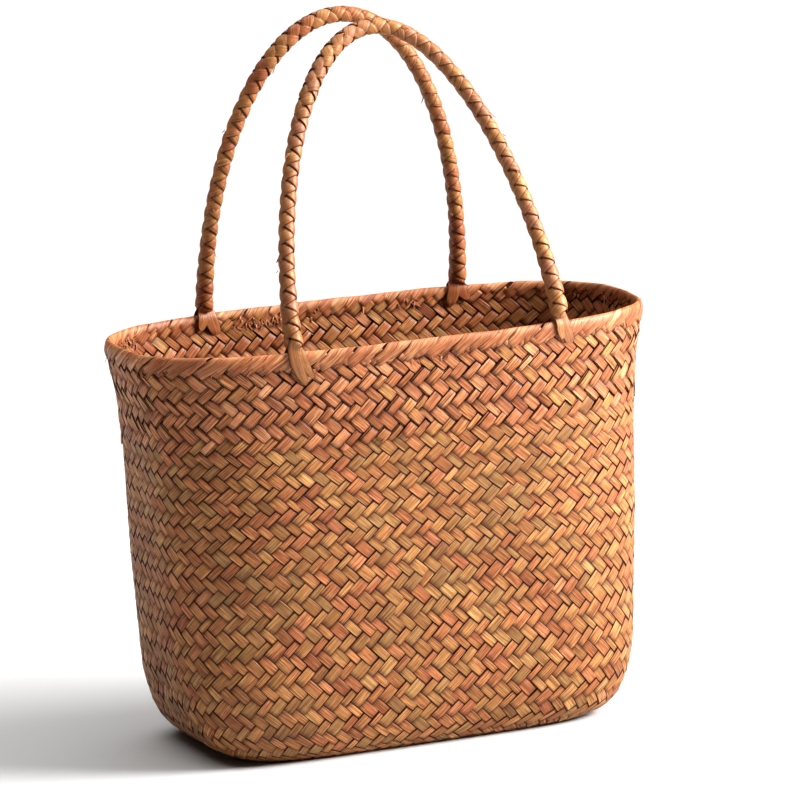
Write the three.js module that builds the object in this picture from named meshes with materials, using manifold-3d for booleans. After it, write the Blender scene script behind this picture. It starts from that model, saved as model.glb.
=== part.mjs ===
// A small straw basket bag: an oval, flat-bottomed basket plaited from flat straw strips, with a folded
// rim and two plaited handles whose ends straddle the rim.
// Millimetres, +Z up, +X along the bag's length, +Y towards the back handle. The origin is the middle of
// the underside.

import * as THREE from "three";
import { mergeVertices } from "three/addons/utils/BufferGeometryUtils.js";
import Module from "manifold-3d";

// Driving dimensions
const RIM_LENGTH = 300;
const RIM_WIDTH = 145;
const BASE_LENGTH = 230;
const BASE_WIDTH = 110;
const BODY_HEIGHT = 225;
const OVERALL_HEIGHT = 390;

// Straw: the wall and the floor are two crossing strips thick, and the turned edge adds one strip on
// each face of the wall
const WALL_THICKNESS = 2.2;
const FOLD_THICKNESS = 1.0;
const FOLD_CREST = 1.2;
const FOLD_DEPTH = 8.5;
const CLEARANCE = 0.3;

// Handles
const BRAID_DIAMETER = 9;
const HANDLES_OFFSET_X = 2.5;
const FRONT_HANDLE_SPAN = 154;
const FRONT_HANDLE_TOP_Y = -6;
const FRONT_HANDLE_TOP_DROP = 1.3;
const FRONT_HANDLE_ARCH = 1.7;
const BACK_HANDLE_SPAN = 151;
const BACK_HANDLE_TOP_Y = 41.5;
const BACK_HANDLE_TOP_DROP = 0;
const BACK_HANDLE_ARCH = 2.1;
const TAIL_WIDTH = 9.5;
const TAIL_THICKNESS = 1.6;
const TAIL_DEPTH_OUTSIDE = 13;
const TAIL_DEPTH_INSIDE = 11;
const CROTCH_HEIGHT = 4.5;

// Mesh fineness
const OUTLINE_SIDES = 80;
const BRAID_SIDES = 10;
const HANDLE_STEPS = 44;

const WALL_TOP = BODY_HEIGHT - FOLD_CREST - CLEARANCE;
const FOLD_OFFSET = CLEARANCE + FOLD_THICKNESS;
const TAIL_OFFSET = FOLD_OFFSET + CLEARANCE;

// The wall's outer face from the underside to the top. height is a share of the wall's height. length and
// width are shares of the way from the base's size to the rim's, below zero where the lower edge rounds
// under. corner is the superellipse exponent of the outline: 2 is an ellipse, more is squarer.
const WALL_SECTIONS = [
  { height: 0, length: -0.497, width: -0.198, corner: 5.3 },
  { height: 0.015, length: -0.136, width: 0.167, corner: 5.2 },
  { height: 0.04, length: 0.108, width: 0.414, corner: 5.05 },
  { height: 0.08, length: 0.286, width: 0.599, corner: 4.8 },
  { height: 0.15, length: 0.451, width: 0.772, corner: 4.4 },
  { height: 0.3, length: 0.611, width: 0.932, corner: 3.5 },
  { height: 0.5, length: 0.691, width: 0.988, corner: 3.4 },
  { height: 0.75, length: 0.758, width: 0.951, corner: 3.25 },
  { height: 0.88, length: 0.843, width: 0.957, corner: 3.1 },
  { height: 0.95, length: 0.95, width: 0.99, corner: 3.0 },
  { height: 1, length: 1, width: 1, corner: 2.9 },
];

// The size of the wall's outer face at a height: half its length, half its width and its exponent.
function wallAt(z) {
  const share = THREE.MathUtils.clamp(z / WALL_TOP, 0, 1);
  let upper = 1;
  while (WALL_SECTIONS[upper].height < share) upper += 1;
  const low = WALL_SECTIONS[upper - 1];
  const high = WALL_SECTIONS[upper];
  const along = (share - low.height) / (high.height - low.height);
  const mix = (column) => THREE.MathUtils.lerp(low[column], high[column], along);
  const topLength = RIM_LENGTH - 2 * FOLD_OFFSET;
  const topWidth = RIM_WIDTH - 2 * FOLD_OFFSET;
  return {
    halfLength: THREE.MathUtils.lerp(BASE_LENGTH, topLength, mix("length")) / 2,
    halfWidth: THREE.MathUtils.lerp(BASE_WIDTH, topWidth, mix("width")) / 2,
    corner: mix("corner"),
  };
}

// One level outline: a superellipse moved outwards by offset, or inwards if it is below zero.
function outlineRing(size, offset, z) {
  const ring = [];
  for (let side = 0; side < OUTLINE_SIDES; side += 1) {
    const angle = (2 * Math.PI * side) / OUTLINE_SIDES;
    const c = Math.cos(angle);
    const s = Math.sin(angle);
    const reach = (Math.abs(c) ** size.corner + Math.abs(s) ** size.corner) ** (1 / size.corner);
    const x = ((size.halfLength + offset) * c) / reach;
    const y = ((size.halfWidth + offset) * s) / reach;
    ring.push(new THREE.Vector3(x, y, z));
  }
  return ring;
}

// A closed mesh through level rings, each joined to the next. Without poles the last ring joins the
// first; with poles the first and last rings are closed by a fan to their middle points.
function loft(rings, poles) {
  const positions = [];
  const faces = [];
  rings.flat().forEach((point) => positions.push(point.x, point.y, point.z));
  const bands = poles ? rings.length - 1 : rings.length;
  for (let band = 0; band < bands; band += 1) {
    const here = band * OUTLINE_SIDES;
    const next = ((band + 1) % rings.length) * OUTLINE_SIDES;
    for (let side = 0; side < OUTLINE_SIDES; side += 1) {
      const turn = (side + 1) % OUTLINE_SIDES;
      faces.push(here + side, here + turn, next + turn);
      faces.push(here + side, next + turn, next + side);
    }
  }
  if (poles) {
    const last = (rings.length - 1) * OUTLINE_SIDES;
    const firstPole = rings.length * OUTLINE_SIDES;
    positions.push(0, 0, rings[0][0].z);
    positions.push(0, 0, rings[rings.length - 1][0].z);
    for (let side = 0; side < OUTLINE_SIDES; side += 1) {
      const turn = (side + 1) % OUTLINE_SIDES;
      faces.push(firstPole, turn, side);
      faces.push(firstPole + 1, last + side, last + turn);
    }
  }
  const geometry = new THREE.BufferGeometry();
  geometry.setAttribute("position", new THREE.Float32BufferAttribute(positions, 3));
  geometry.setIndex(faces);
  geometry.computeVertexNormals();
  return geometry;
}

// How far the wall leans out from upright at a section: a quarter turn at the floor, none at the top.
function leanAt(index) {
  if (index === 0) return Math.PI / 2;
  if (index === WALL_SECTIONS.length - 1) return 0;
  const lowZ = WALL_SECTIONS[index - 1].height * WALL_TOP;
  const highZ = WALL_SECTIONS[index + 1].height * WALL_TOP;
  const low = wallAt(lowZ);
  const high = wallAt(highZ);
  const spread = (high.halfLength - low.halfLength + high.halfWidth - low.halfWidth) / 2;
  return Math.atan2(spread, highZ - lowZ);
}

// Wall and floor: up the outer face, over the top, and down the inner face, which lies one wall thickness
// in from the outer one, square to it.
function wovenBody() {
  const outer = WALL_SECTIONS.map(({ height }) => {
    const z = height * WALL_TOP;
    return outlineRing(wallAt(z), 0, z);
  });
  const inner = WALL_SECTIONS.map(({ height }, index) => {
    const z = height * WALL_TOP;
    const lean = leanAt(index);
    const offset = -WALL_THICKNESS * Math.cos(lean);
    return outlineRing(wallAt(z), offset, z + WALL_THICKNESS * Math.sin(lean));
  });
  return loft([...outer, ...inner.reverse()], true);
}

// The turned edge: an upside-down channel over the top of the wall.
function rimFold() {
  const foot = BODY_HEIGHT - FOLD_DEPTH;
  const shoulder = BODY_HEIGHT - FOLD_CREST;
  const slot = WALL_TOP + CLEARANCE;
  const section = [
    { offset: FOLD_OFFSET, z: foot },
    { offset: FOLD_OFFSET, z: shoulder },
    { offset: -WALL_THICKNESS / 2, z: BODY_HEIGHT },
    { offset: -WALL_THICKNESS - FOLD_OFFSET, z: shoulder },
    { offset: -WALL_THICKNESS - FOLD_OFFSET, z: foot },
    { offset: -WALL_THICKNESS - CLEARANCE, z: foot },
    { offset: -WALL_THICKNESS - CLEARANCE, z: slot },
    { offset: CLEARANCE, z: slot },
    { offset: CLEARANCE, z: foot },
  ];
  return loft(section.map(({ offset, z }) => outlineRing(wallAt(z), offset, z)), false);
}

// Where a handle's end sits on the rim: a place in the middle of the wall's thickness and the direction
// that the wall faces there. side is -1 for the front wall and 1 for the back wall.
function rimSeat(x, side) {
  const { halfLength, halfWidth, corner } = wallAt(WALL_TOP);
  const share = Math.abs(x) / halfLength;
  const y = halfWidth * (1 - share ** corner) ** (1 / corner);
  const slopeX = (share ** (corner - 1) / halfLength) * Math.sign(x);
  const slopeY = (y / halfWidth) ** (corner - 1) / halfWidth;
  const facing = new THREE.Vector3(slopeX, side * slopeY, 0).normalize();
  const outer = new THREE.Vector3(x, side * y, 0);
  return { facing, middle: outer.addScaledVector(facing, -WALL_THICKNESS / 2) };
}

// How far the wall's outer face at a height lies from the middle of the rim, along the seat's facing.
function faceReach(seat, z) {
  const { halfLength, halfWidth, corner } = wallAt(z);
  const share = Math.abs(seat.middle.x) / halfLength;
  const y = halfWidth * (1 - share ** corner) ** (1 / corner);
  return (y - Math.abs(seat.middle.y)) * Math.abs(seat.facing.y);
}

// A handle's parted end: one tail down each face of the rim, joined over the crest.
function partedEnd(seat) {
  const outsideFoot = BODY_HEIGHT - TAIL_DEPTH_OUTSIDE;
  const insideFoot = BODY_HEIGHT - TAIL_DEPTH_INSIDE;
  const foldFoot = BODY_HEIGHT - FOLD_DEPTH - CLEARANCE;
  const crest = BODY_HEIGHT + CLEARANCE;
  const crotch = crest + CROTCH_HEIGHT;
  const out = (z, offset) => faceReach(seat, z) + offset;
  const inn = (z, offset) => faceReach(seat, z) - WALL_THICKNESS - offset;
  const braid = BRAID_DIAMETER / 2;
  const outline = [
    [out(outsideFoot, CLEARANCE), outsideFoot],
    [out(outsideFoot, CLEARANCE + TAIL_THICKNESS / 2), outsideFoot],
    [out(foldFoot, TAIL_OFFSET + TAIL_THICKNESS), foldFoot],
    [out(crest, TAIL_OFFSET + TAIL_THICKNESS), crest],
    [braid, crotch],
    [-braid, crotch],
    [inn(crest, TAIL_OFFSET + TAIL_THICKNESS), crest],
    [inn(foldFoot, TAIL_OFFSET + TAIL_THICKNESS), foldFoot],
    [inn(insideFoot, CLEARANCE + TAIL_THICKNESS / 2), insideFoot],
    [inn(insideFoot, CLEARANCE), insideFoot],
    [inn(foldFoot, TAIL_OFFSET), foldFoot],
    [inn(crest, TAIL_OFFSET), crest],
    [out(crest, TAIL_OFFSET), crest],
    [out(foldFoot, TAIL_OFFSET), foldFoot],
  ];
  const shape = new THREE.Shape(outline.map(([x, y]) => new THREE.Vector2(x, y)));
  const geometry = new THREE.ExtrudeGeometry(shape, { depth: TAIL_WIDTH, bevelEnabled: false });
  geometry.translate(0, 0, -TAIL_WIDTH / 2);
  const up = new THREE.Vector3(0, 0, 1);
  const across = new THREE.Vector3().crossVectors(seat.facing, up);
  geometry.applyMatrix4(new THREE.Matrix4().makeBasis(seat.facing, up, across));
  geometry.translate(seat.middle.x, seat.middle.y, 0);
  return geometry;
}

// The middle line of a handle: upright at both seats, flattened at the top, leaning in a straight line.
class HandleLine extends THREE.Curve {
  constructor(left, right, arch, topY, topZ) {
    super();
    Object.assign(this, { left, right, arch, topY, topZ });
  }

  getPoint(t, target = new THREE.Vector3()) {
    const turn = Math.PI * (1 - t);
    const rise = Math.sin(turn) ** (2 / this.arch);
    const startZ = BODY_HEIGHT + CLEARANCE + CROTCH_HEIGHT / 2;
    const middle = (this.left.x + this.right.x) / 2;
    const half = (this.right.x - this.left.x) / 2;
    const seatY = THREE.MathUtils.lerp(this.left.y, this.right.y, t);
    return target.set(
      middle + half * Math.cos(turn),
      THREE.MathUtils.lerp(seatY, this.topY, rise),
      THREE.MathUtils.lerp(startZ, this.topZ, rise),
    );
  }
}

// Joining by manifold-3d, which wants merged vertices and gives back plain arrays.
const wasm = await Module();
wasm.setup();

function toSolid(geometry) {
  const bare = geometry.clone();
  bare.deleteAttribute("normal");
  bare.deleteAttribute("uv");
  const merged = mergeVertices(bare, 1e-3);
  const vertProperties = merged.getAttribute("position").array;
  const triVerts = new Uint32Array(merged.index.array);
  return new wasm.Manifold(new wasm.Mesh({ numProp: 3, vertProperties, triVerts }));
}

function toGeometry(solid) {
  const { vertProperties, triVerts } = solid.getMesh();
  const geometry = new THREE.BufferGeometry();
  geometry.setAttribute("position", new THREE.BufferAttribute(vertProperties, 3));
  geometry.setIndex(new THREE.BufferAttribute(triVerts, 1));
  geometry.computeVertexNormals();
  return geometry;
}

// One handle: the braid along its line, joined to a parted end on each seat.
function handle({ side, span, arch, topY, topDrop }) {
  const left = rimSeat(HANDLES_OFFSET_X - span / 2, side);
  const right = rimSeat(HANDLES_OFFSET_X + span / 2, side);
  const topZ = OVERALL_HEIGHT - BRAID_DIAMETER / 2 - topDrop;
  const line = new HandleLine(left.middle, right.middle, arch, topY, topZ);
  const section = new THREE.Shape().absarc(0, 0, BRAID_DIAMETER / 2, 0, 2 * Math.PI);
  const braid = new THREE.ExtrudeGeometry(section, {
    steps: HANDLE_STEPS,
    curveSegments: BRAID_SIDES / 2,
    extrudePath: line,
  });
  const solid = toSolid(braid).add(toSolid(partedEnd(left))).add(toSolid(partedEnd(right)));
  return toGeometry(solid);
}

const plaitedStraw = new THREE.MeshStandardMaterial({ color: 0xc08a52, roughness: 0.6, metalness: 0 });
const foldedStraw = new THREE.MeshStandardMaterial({ color: 0xcf9668, roughness: 0.55, metalness: 0 });
const braidedStraw = new THREE.MeshStandardMaterial({ color: 0xc48a55, roughness: 0.45, metalness: 0 });

function named(name, geometry, material) {
  const mesh = new THREE.Mesh(geometry, material);
  mesh.name = name;
  return mesh;
}

const frontHandle = handle({
  side: -1,
  span: FRONT_HANDLE_SPAN,
  arch: FRONT_HANDLE_ARCH,
  topY: FRONT_HANDLE_TOP_Y,
  topDrop: FRONT_HANDLE_TOP_DROP,
});
const backHandle = handle({
  side: 1,
  span: BACK_HANDLE_SPAN,
  arch: BACK_HANDLE_ARCH,
  topY: BACK_HANDLE_TOP_Y,
  topDrop: BACK_HANDLE_TOP_DROP,
});

const bag = new THREE.Group();
bag.add(named("woven_body", wovenBody(), plaitedStraw));
bag.add(named("rim_fold", rimFold(), foldedStraw));
bag.add(named("handle_front", frontHandle, braidedStraw));
bag.add(named("handle_back", backHandle, braidedStraw.clone()));

export default bag;
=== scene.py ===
"""Straw basket bag: the plaited wall and floor, the turned rim and the two plaited handles.

Laid out as an add-on and run as a script. Metres, +Z up, +X along the bag's length, +Y towards the
back handle, the origin at the middle of the underside.
"""

import math

import bmesh
import bpy
import numpy as np
from bpy.props import FloatProperty, FloatVectorProperty, IntProperty, PointerProperty
from mathutils import Matrix, Vector
from mathutils.bvhtree import BVHTree


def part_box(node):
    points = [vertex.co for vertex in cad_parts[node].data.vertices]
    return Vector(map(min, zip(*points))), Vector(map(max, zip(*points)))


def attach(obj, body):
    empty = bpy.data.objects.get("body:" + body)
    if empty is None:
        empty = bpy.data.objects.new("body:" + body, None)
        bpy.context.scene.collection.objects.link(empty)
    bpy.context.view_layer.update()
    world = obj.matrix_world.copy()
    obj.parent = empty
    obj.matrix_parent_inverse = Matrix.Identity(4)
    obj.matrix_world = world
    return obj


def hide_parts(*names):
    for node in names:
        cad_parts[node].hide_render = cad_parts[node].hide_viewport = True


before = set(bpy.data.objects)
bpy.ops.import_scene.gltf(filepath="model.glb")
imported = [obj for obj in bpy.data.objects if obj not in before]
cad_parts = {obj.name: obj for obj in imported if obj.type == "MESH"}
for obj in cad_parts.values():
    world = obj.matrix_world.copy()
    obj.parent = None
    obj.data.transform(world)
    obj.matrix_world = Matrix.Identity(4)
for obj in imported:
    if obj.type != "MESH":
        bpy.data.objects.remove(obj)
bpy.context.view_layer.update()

bl_info = {
    "name": "Straw basket bag",
    "version": (1, 0, 0),
    "blender": (4, 5, 0),
    "location": "3D View > Sidebar > Basket bag",
    "description": "Plaits a straw basket bag with a turned rim and two braided handles",
    "category": "Add Mesh",
}

MM = 0.001

# The plaiting: strips cross on the diagonal, over two and under two. The floor is a slanting lattice of
# 31 by 16 cells, and its strips turn up to make the 94 cells round the wall.
FLOOR_LONG = 31
FLOOR_WIDE = 16
HALF_LONG = FLOOR_LONG / 2
HALF_WIDE = FLOOR_WIDE / 2
ROUND_CELLS = 2 * (FLOOR_LONG + FLOOR_WIDE)
WALL_ROWS = 66
OVER_ROWS = 2

# Row height in millimetres at shares of the way up the wall
ROW_SHARES = np.array([0.0, 0.07, 0.20, 0.34, 0.43, 0.55, 0.66, 0.77, 0.81, 0.86, 0.90, 1.0])
ROW_HEIGHTS = np.array([3.20, 3.62, 3.86, 3.80, 3.68, 3.40, 3.28, 3.25, 3.60, 3.76, 3.50, 3.45])

# Above this row the strips are turned back down and lie double, so the plaiting is thicker and looser
DOUBLE_ROW = 51.5

# How much wider than the mean a cell is in the middle of the front and back, as a share. The cells at
# the rounded ends are narrower by as much.
CELL_STRETCH_BOTTOM = 0.07
CELL_STRETCH_TOP = -0.04

# Millimetres: a cell's size for the scale of the fibres, the depth of the middle of the wall's
# thickness below its outer face, and the least distance from any strip to the ground
CELL_MM = 5.3
WALL_MIDDLE = 1.1
GROUND_CLEARANCE = 0.02

# Random draws: the top of a phase in radians, and the top of the number that sets a strip's fibres
PHASE_TOP = 6.28
FIBRE_SEEDS = 500

# Where the lattice turns a corner, in cells round the wall from the middle of the front
CORNER_FRONT_RIGHT = HALF_LONG
CORNER_BACK_RIGHT = HALF_LONG + FLOOR_WIDE
CORNER_BACK_LEFT = HALF_LONG + FLOOR_WIDE + FLOOR_LONG

# Where a step of a strip lies: on the floor, or on the wall past one of the floor's sides
ON_FLOOR = 0
FRONT = 1
RIGHT = 2
BACK = 3
LEFT = 4

# A strip's section: places across it, over the outer face from edge to edge and back along the inner
# face, with each one's height as a share of half the thickness and its share of painted edge shade, a
# dark colour that stands for the shade in the gaps between strips. UNDERSIDE marks the inner face, and
# CREASED lists the points whose lines along the strip stay sharp. EDGE_BASE is the share of painted
# edge shade that the finish takes for none.
EDGE_BASE = 0.15
ACROSS = np.array([-1.0, -0.84, 0.84, 1.0, 0.80, -0.80])
CROWN = np.array([0.0, 1.0, 1.0, 0.0, -0.95, -0.95])
EDGE = np.array([1.0, EDGE_BASE, EDGE_BASE, 1.0, EDGE_BASE, EDGE_BASE])
UNDERSIDE = np.array([False, False, False, False, True, True])
CREASED = np.array([1, 2, 4, 5])

# The same for the turned straw of the rim, painted edge shade included, with more points so that it bends
# over the crest smoothly
WRAP_ACROSS = np.concatenate([[-1.0], np.linspace(-0.9, 0.9, 9), [1.0], np.linspace(0.75, -0.75, 4)])
WRAP_CROWN = np.array([0.0] + [1.0] * 9 + [0.0] + [-0.95] * 4)
WRAP_PAINTED_EDGE_SHADE = np.array([1.0, 0.35] + [EDGE_BASE] * 7 + [0.35, 1.0] + [EDGE_BASE] * 4)

# The camera of the photograph, in degrees and millimetres
CAMERA_TURN = -22.951
CAMERA_RISE = 11.157
CAMERA_ROLL = -2.2889
CAMERA_DISTANCE = 3303.06
CAMERA_AIM_HEIGHT = 150.0
CAMERA_SHIFT_RIGHT = 10.401
CAMERA_SHIFT_UP = 28.985
CAMERA_LENS = 274.08
SENSOR_WIDTH = 36.0

# The view's gamma, which deepens the shades to the photograph's
PHOTO_GAMMA = 0.85

# The stage, in metres: the floor's radius and the place on the bag that the lights aim at
FLOOR_RADIUS = 30.0
LIGHT_AIM = (0.0, 0.0, 0.15)


def lerp(a, b, share):
    """The value a share of the way from a to b."""
    return a + (b - a) * share


def ease(share):
    """Nought to one with a slow start and end."""
    share = np.clip(share, 0.0, 1.0)
    return share * share * (3 - 2 * share)


def unit(vectors):
    """The same directions at length one."""
    length = np.linalg.norm(vectors, axis=-1, keepdims=True)
    return vectors / np.maximum(length, 1e-12)


def smooth_line(knots, values, at, start_slope=None):
    """A cubic through the values, with each slope taken from the neighbours."""
    slopes = np.gradient(values, knots)
    if start_slope is not None:
        slopes[0] = start_slope
    index = np.clip(np.searchsorted(knots, at, side="right") - 1, 0, len(knots) - 2)
    step = knots[index + 1] - knots[index]
    t = (at - knots[index]) / step
    from_start = (1 + 2 * t) * (1 - t) ** 2 * values[index] + t * (1 - t) ** 2 * step * slopes[index]
    from_end = t * t * (3 - 2 * t) * values[index + 1] + t * t * (t - 1) * step * slopes[index + 1]
    return from_start + from_end


class BagForm:
    """The bag's outer face, read from the CAD body and laid out in plaiting cells and rows."""

    AROUND_STEPS = 4
    UP_STEPS = 2
    RING_POINTS = 1921

    # Metres: how far out a ray starts, how far it keeps from the body's ends and from its own axes, and
    # what counts as the same place. LEAN turns the ray at a corner off the mesh's edges.
    RAY_START = 1.0
    END_INSET = 2e-5
    OFF_AXIS = 1e-4
    SAME_PLACE = 1e-4
    ON_AXIS = 1e-5
    LEAN = 1.0001

    def __init__(self, node):
        heights, lengths, widths, corners = self.read_profile(node)
        radius = (lengths + widths) / 2
        travel = np.concatenate([[0.0], np.cumsum(np.hypot(np.diff(radius), np.diff(heights)))])
        count = WALL_ROWS * self.UP_STEPS + 1
        rows = np.arange(count) / self.UP_STEPS
        step = np.interp((rows[1:] + rows[:-1]) / 2 / WALL_ROWS, ROW_SHARES, ROW_HEIGHTS)
        share = np.concatenate([[0.0], np.cumsum(step)])
        at = share / share[-1] * travel[-1]
        height = smooth_line(travel, heights, at, 0.0)
        length = smooth_line(travel, lengths, at)
        width = smooth_line(travel, widths, at)
        corner = smooth_line(travel, corners, at)
        self.row_height_top = at[-1] - at[-1 - self.UP_STEPS]
        around = ROUND_CELLS * self.AROUND_STEPS
        self.outer = np.zeros((count, around, 3))
        for level in range(count):
            stretch = lerp(CELL_STRETCH_BOTTOM, CELL_STRETCH_TOP, rows[level] / WALL_ROWS)
            x, y = self.ring(length[level], width[level], corner[level], around, stretch)
            self.outer[level, :, 0] = x
            self.outer[level, :, 1] = y
            self.outer[level, :, 2] = height[level]
        along = np.roll(self.outer, -1, axis=1) - np.roll(self.outer, 1, axis=1)
        up = np.gradient(self.outer, axis=0)
        self.normal = unit(np.cross(along, up))
        self.half_length = length[0]
        self.half_width = width[0]
        self.cell_width_top = self.ring_length(length[-1], width[-1], corner[-1]) / ROUND_CELLS

    def read_profile(self, node):
        """The wall's half length, half width and corner exponent at each level of the CAD body."""
        mesh = node.data
        points = [v.co.copy() for v in mesh.vertices]
        tree = BVHTree.FromPolygons(points, [tuple(p.vertices) for p in mesh.polygons])
        top = max(p.z for p in points)

        def reach(direction, height):
            direction = Vector((direction[0], direction[1], 0.0)).normalized()
            start = direction * self.RAY_START
            start.z = min(max(height, self.END_INSET), top - self.END_INSET)
            hit = tree.ray_cast(start, -direction)[0]
            if hit is None:
                raise RuntimeError("the CAD wall could not be read")
            return math.hypot(hit.x, hit.y)

        heights = set()
        for p in points:
            if p.x <= 0 or abs(p.y) >= self.ON_AXIS:
                continue
            if reach((1.0, self.OFF_AXIS), p.z) - p.x < self.SAME_PLACE:
                heights.add(round(p.z, 6))
        heights = sorted(heights)
        lengths = []
        widths = []
        corners = []
        for height in heights:
            length = reach((1.0, self.OFF_AXIS), height)
            width = reach((self.OFF_AXIS, 1.0), height)
            share = reach((length, width * self.LEAN), height) / math.hypot(length, width)
            lengths.append(length)
            widths.append(width)
            corners.append(-math.log(2) / math.log(share))
        return np.array(heights), np.array(lengths), np.array(widths), np.array(corners)

    def ring_points(self, length, width, corner):
        """A dense outline from the middle of the front, towards +X first."""
        angle = np.linspace(-math.pi / 2, math.pi * 1.5, self.RING_POINTS)
        c = np.cos(angle)
        s = np.sin(angle)
        reach = (np.abs(c) ** corner + np.abs(s) ** corner) ** (1 / corner)
        return length * c / reach, width * s / reach

    def ring_length(self, length, width, corner):
        """The length once round the outline."""
        x, y = self.ring_points(length, width, corner)
        return np.sum(np.hypot(np.diff(x), np.diff(y)))

    def ring(self, length, width, corner, count, stretch):
        """The outline at the cells' places."""
        x, y = self.ring_points(length, width, corner)
        travel = np.concatenate([[0.0], np.cumsum(np.hypot(np.diff(x), np.diff(y)))])
        share = np.arange(count) / count
        share = share + stretch / (4 * math.pi) * np.sin(4 * math.pi * share)
        at = share * travel[-1]
        return np.interp(at, travel, x), np.interp(at, travel, y)

    def look_up(self, cell, row):
        """Points and normals on the wall at lattice places."""
        around = self.outer.shape[1]
        c = np.mod(cell, ROUND_CELLS) * self.AROUND_STEPS
        r = np.clip(row, 0.0, WALL_ROWS) * self.UP_STEPS
        c0 = np.floor(c).astype(int)
        r0 = np.minimum(np.floor(r).astype(int), self.outer.shape[0] - 2)
        cf = (c - c0)[..., None]
        rf = (r - r0)[..., None]
        c0 = c0 % around
        c1 = (c0 + 1) % around
        results = []
        for grid in (self.outer, self.normal):
            low = grid[r0, c0] * (1 - cf) + grid[r0, c1] * cf
            high = grid[r0 + 1, c0] * (1 - cf) + grid[r0 + 1, c1] * cf
            results.append(low * (1 - rf) + high * rf)
        return results[0], unit(results[1])

    def floor(self, x, y):
        """Points and normals on the underside at lattice places."""
        reach = np.maximum(np.maximum(np.abs(x) / HALF_LONG, np.abs(y) / HALF_WIDE), 1e-6)
        x_edge = x / reach
        y_edge = y / reach
        cell = np.where(
            np.abs(y) / HALF_WIDE >= np.abs(x) / HALF_LONG,
            np.where(y < 0, x_edge, CORNER_BACK_RIGHT + HALF_LONG - x_edge),
            np.where(x > 0, CORNER_FRONT_RIGHT + HALF_WIDE + y_edge, CORNER_BACK_LEFT + HALF_WIDE - y_edge),
        )
        edge, _ = self.look_up(cell, np.zeros_like(cell))
        flat = np.stack([x_edge / HALF_LONG * self.half_length, y_edge / HALF_WIDE * self.half_width], -1)
        pull = (np.minimum(reach, 1.0) ** 3)[..., None] * (edge[..., :2] - flat)
        place = np.zeros(x.shape + (3,))
        place[..., 0] = x / HALF_LONG * self.half_length
        place[..., 1] = y / HALF_WIDE * self.half_width
        place[..., :2] += pull
        normal = np.zeros_like(place)
        normal[..., 2] = -1.0
        return place, normal

    def at(self, cell, row):
        """Points and normals at lattice places, where a row below nought lies on the underside."""
        wall_point, wall_normal = self.look_up(cell, row)
        x, y = floor_place(cell, row)
        floor_point, floor_normal = self.floor(x, y)
        below = (row < 0)[..., None]
        return np.where(below, floor_point, wall_point), np.where(below, floor_normal, wall_normal)


def floor_place(cell, row):
    """The floor's lattice place of a wall place whose row is below nought."""
    cell = np.mod(cell + HALF_LONG, ROUND_CELLS) - HALF_LONG
    inward = -row / 2
    x = np.where(cell < CORNER_FRONT_RIGHT, cell, 0.0)
    y = np.where(cell < CORNER_FRONT_RIGHT, -HALF_WIDE + inward, 0.0)
    right = (cell >= CORNER_FRONT_RIGHT) & (cell < CORNER_BACK_RIGHT)
    x = np.where(right, HALF_LONG - inward, x)
    y = np.where(right, cell - CORNER_FRONT_RIGHT - HALF_WIDE, y)
    back = (cell >= CORNER_BACK_RIGHT) & (cell < CORNER_BACK_LEFT)
    x = np.where(back, CORNER_BACK_RIGHT + HALF_LONG - cell, x)
    y = np.where(back, HALF_WIDE - inward, y)
    left = cell >= CORNER_BACK_LEFT
    x = np.where(left, -HALF_LONG + inward, x)
    y = np.where(left, CORNER_BACK_LEFT + HALF_WIDE - cell, y)
    return np.clip(x, -HALF_LONG, HALF_LONG), np.clip(y, -HALF_WIDE, HALF_WIDE)


def wall_place(side, x, y):
    """The wall's cell and row of a place past the floor's edge on that side."""
    if side == FRONT:
        return x, -2 * (y + HALF_WIDE)
    if side == RIGHT:
        return y + CORNER_FRONT_RIGHT + HALF_WIDE, 2 * (x - HALF_LONG)
    if side == BACK:
        return CORNER_BACK_RIGHT + HALF_LONG - x, 2 * (y - HALF_WIDE)
    return CORNER_BACK_LEFT + HALF_WIDE - y, -2 * (x + HALF_LONG)


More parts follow.
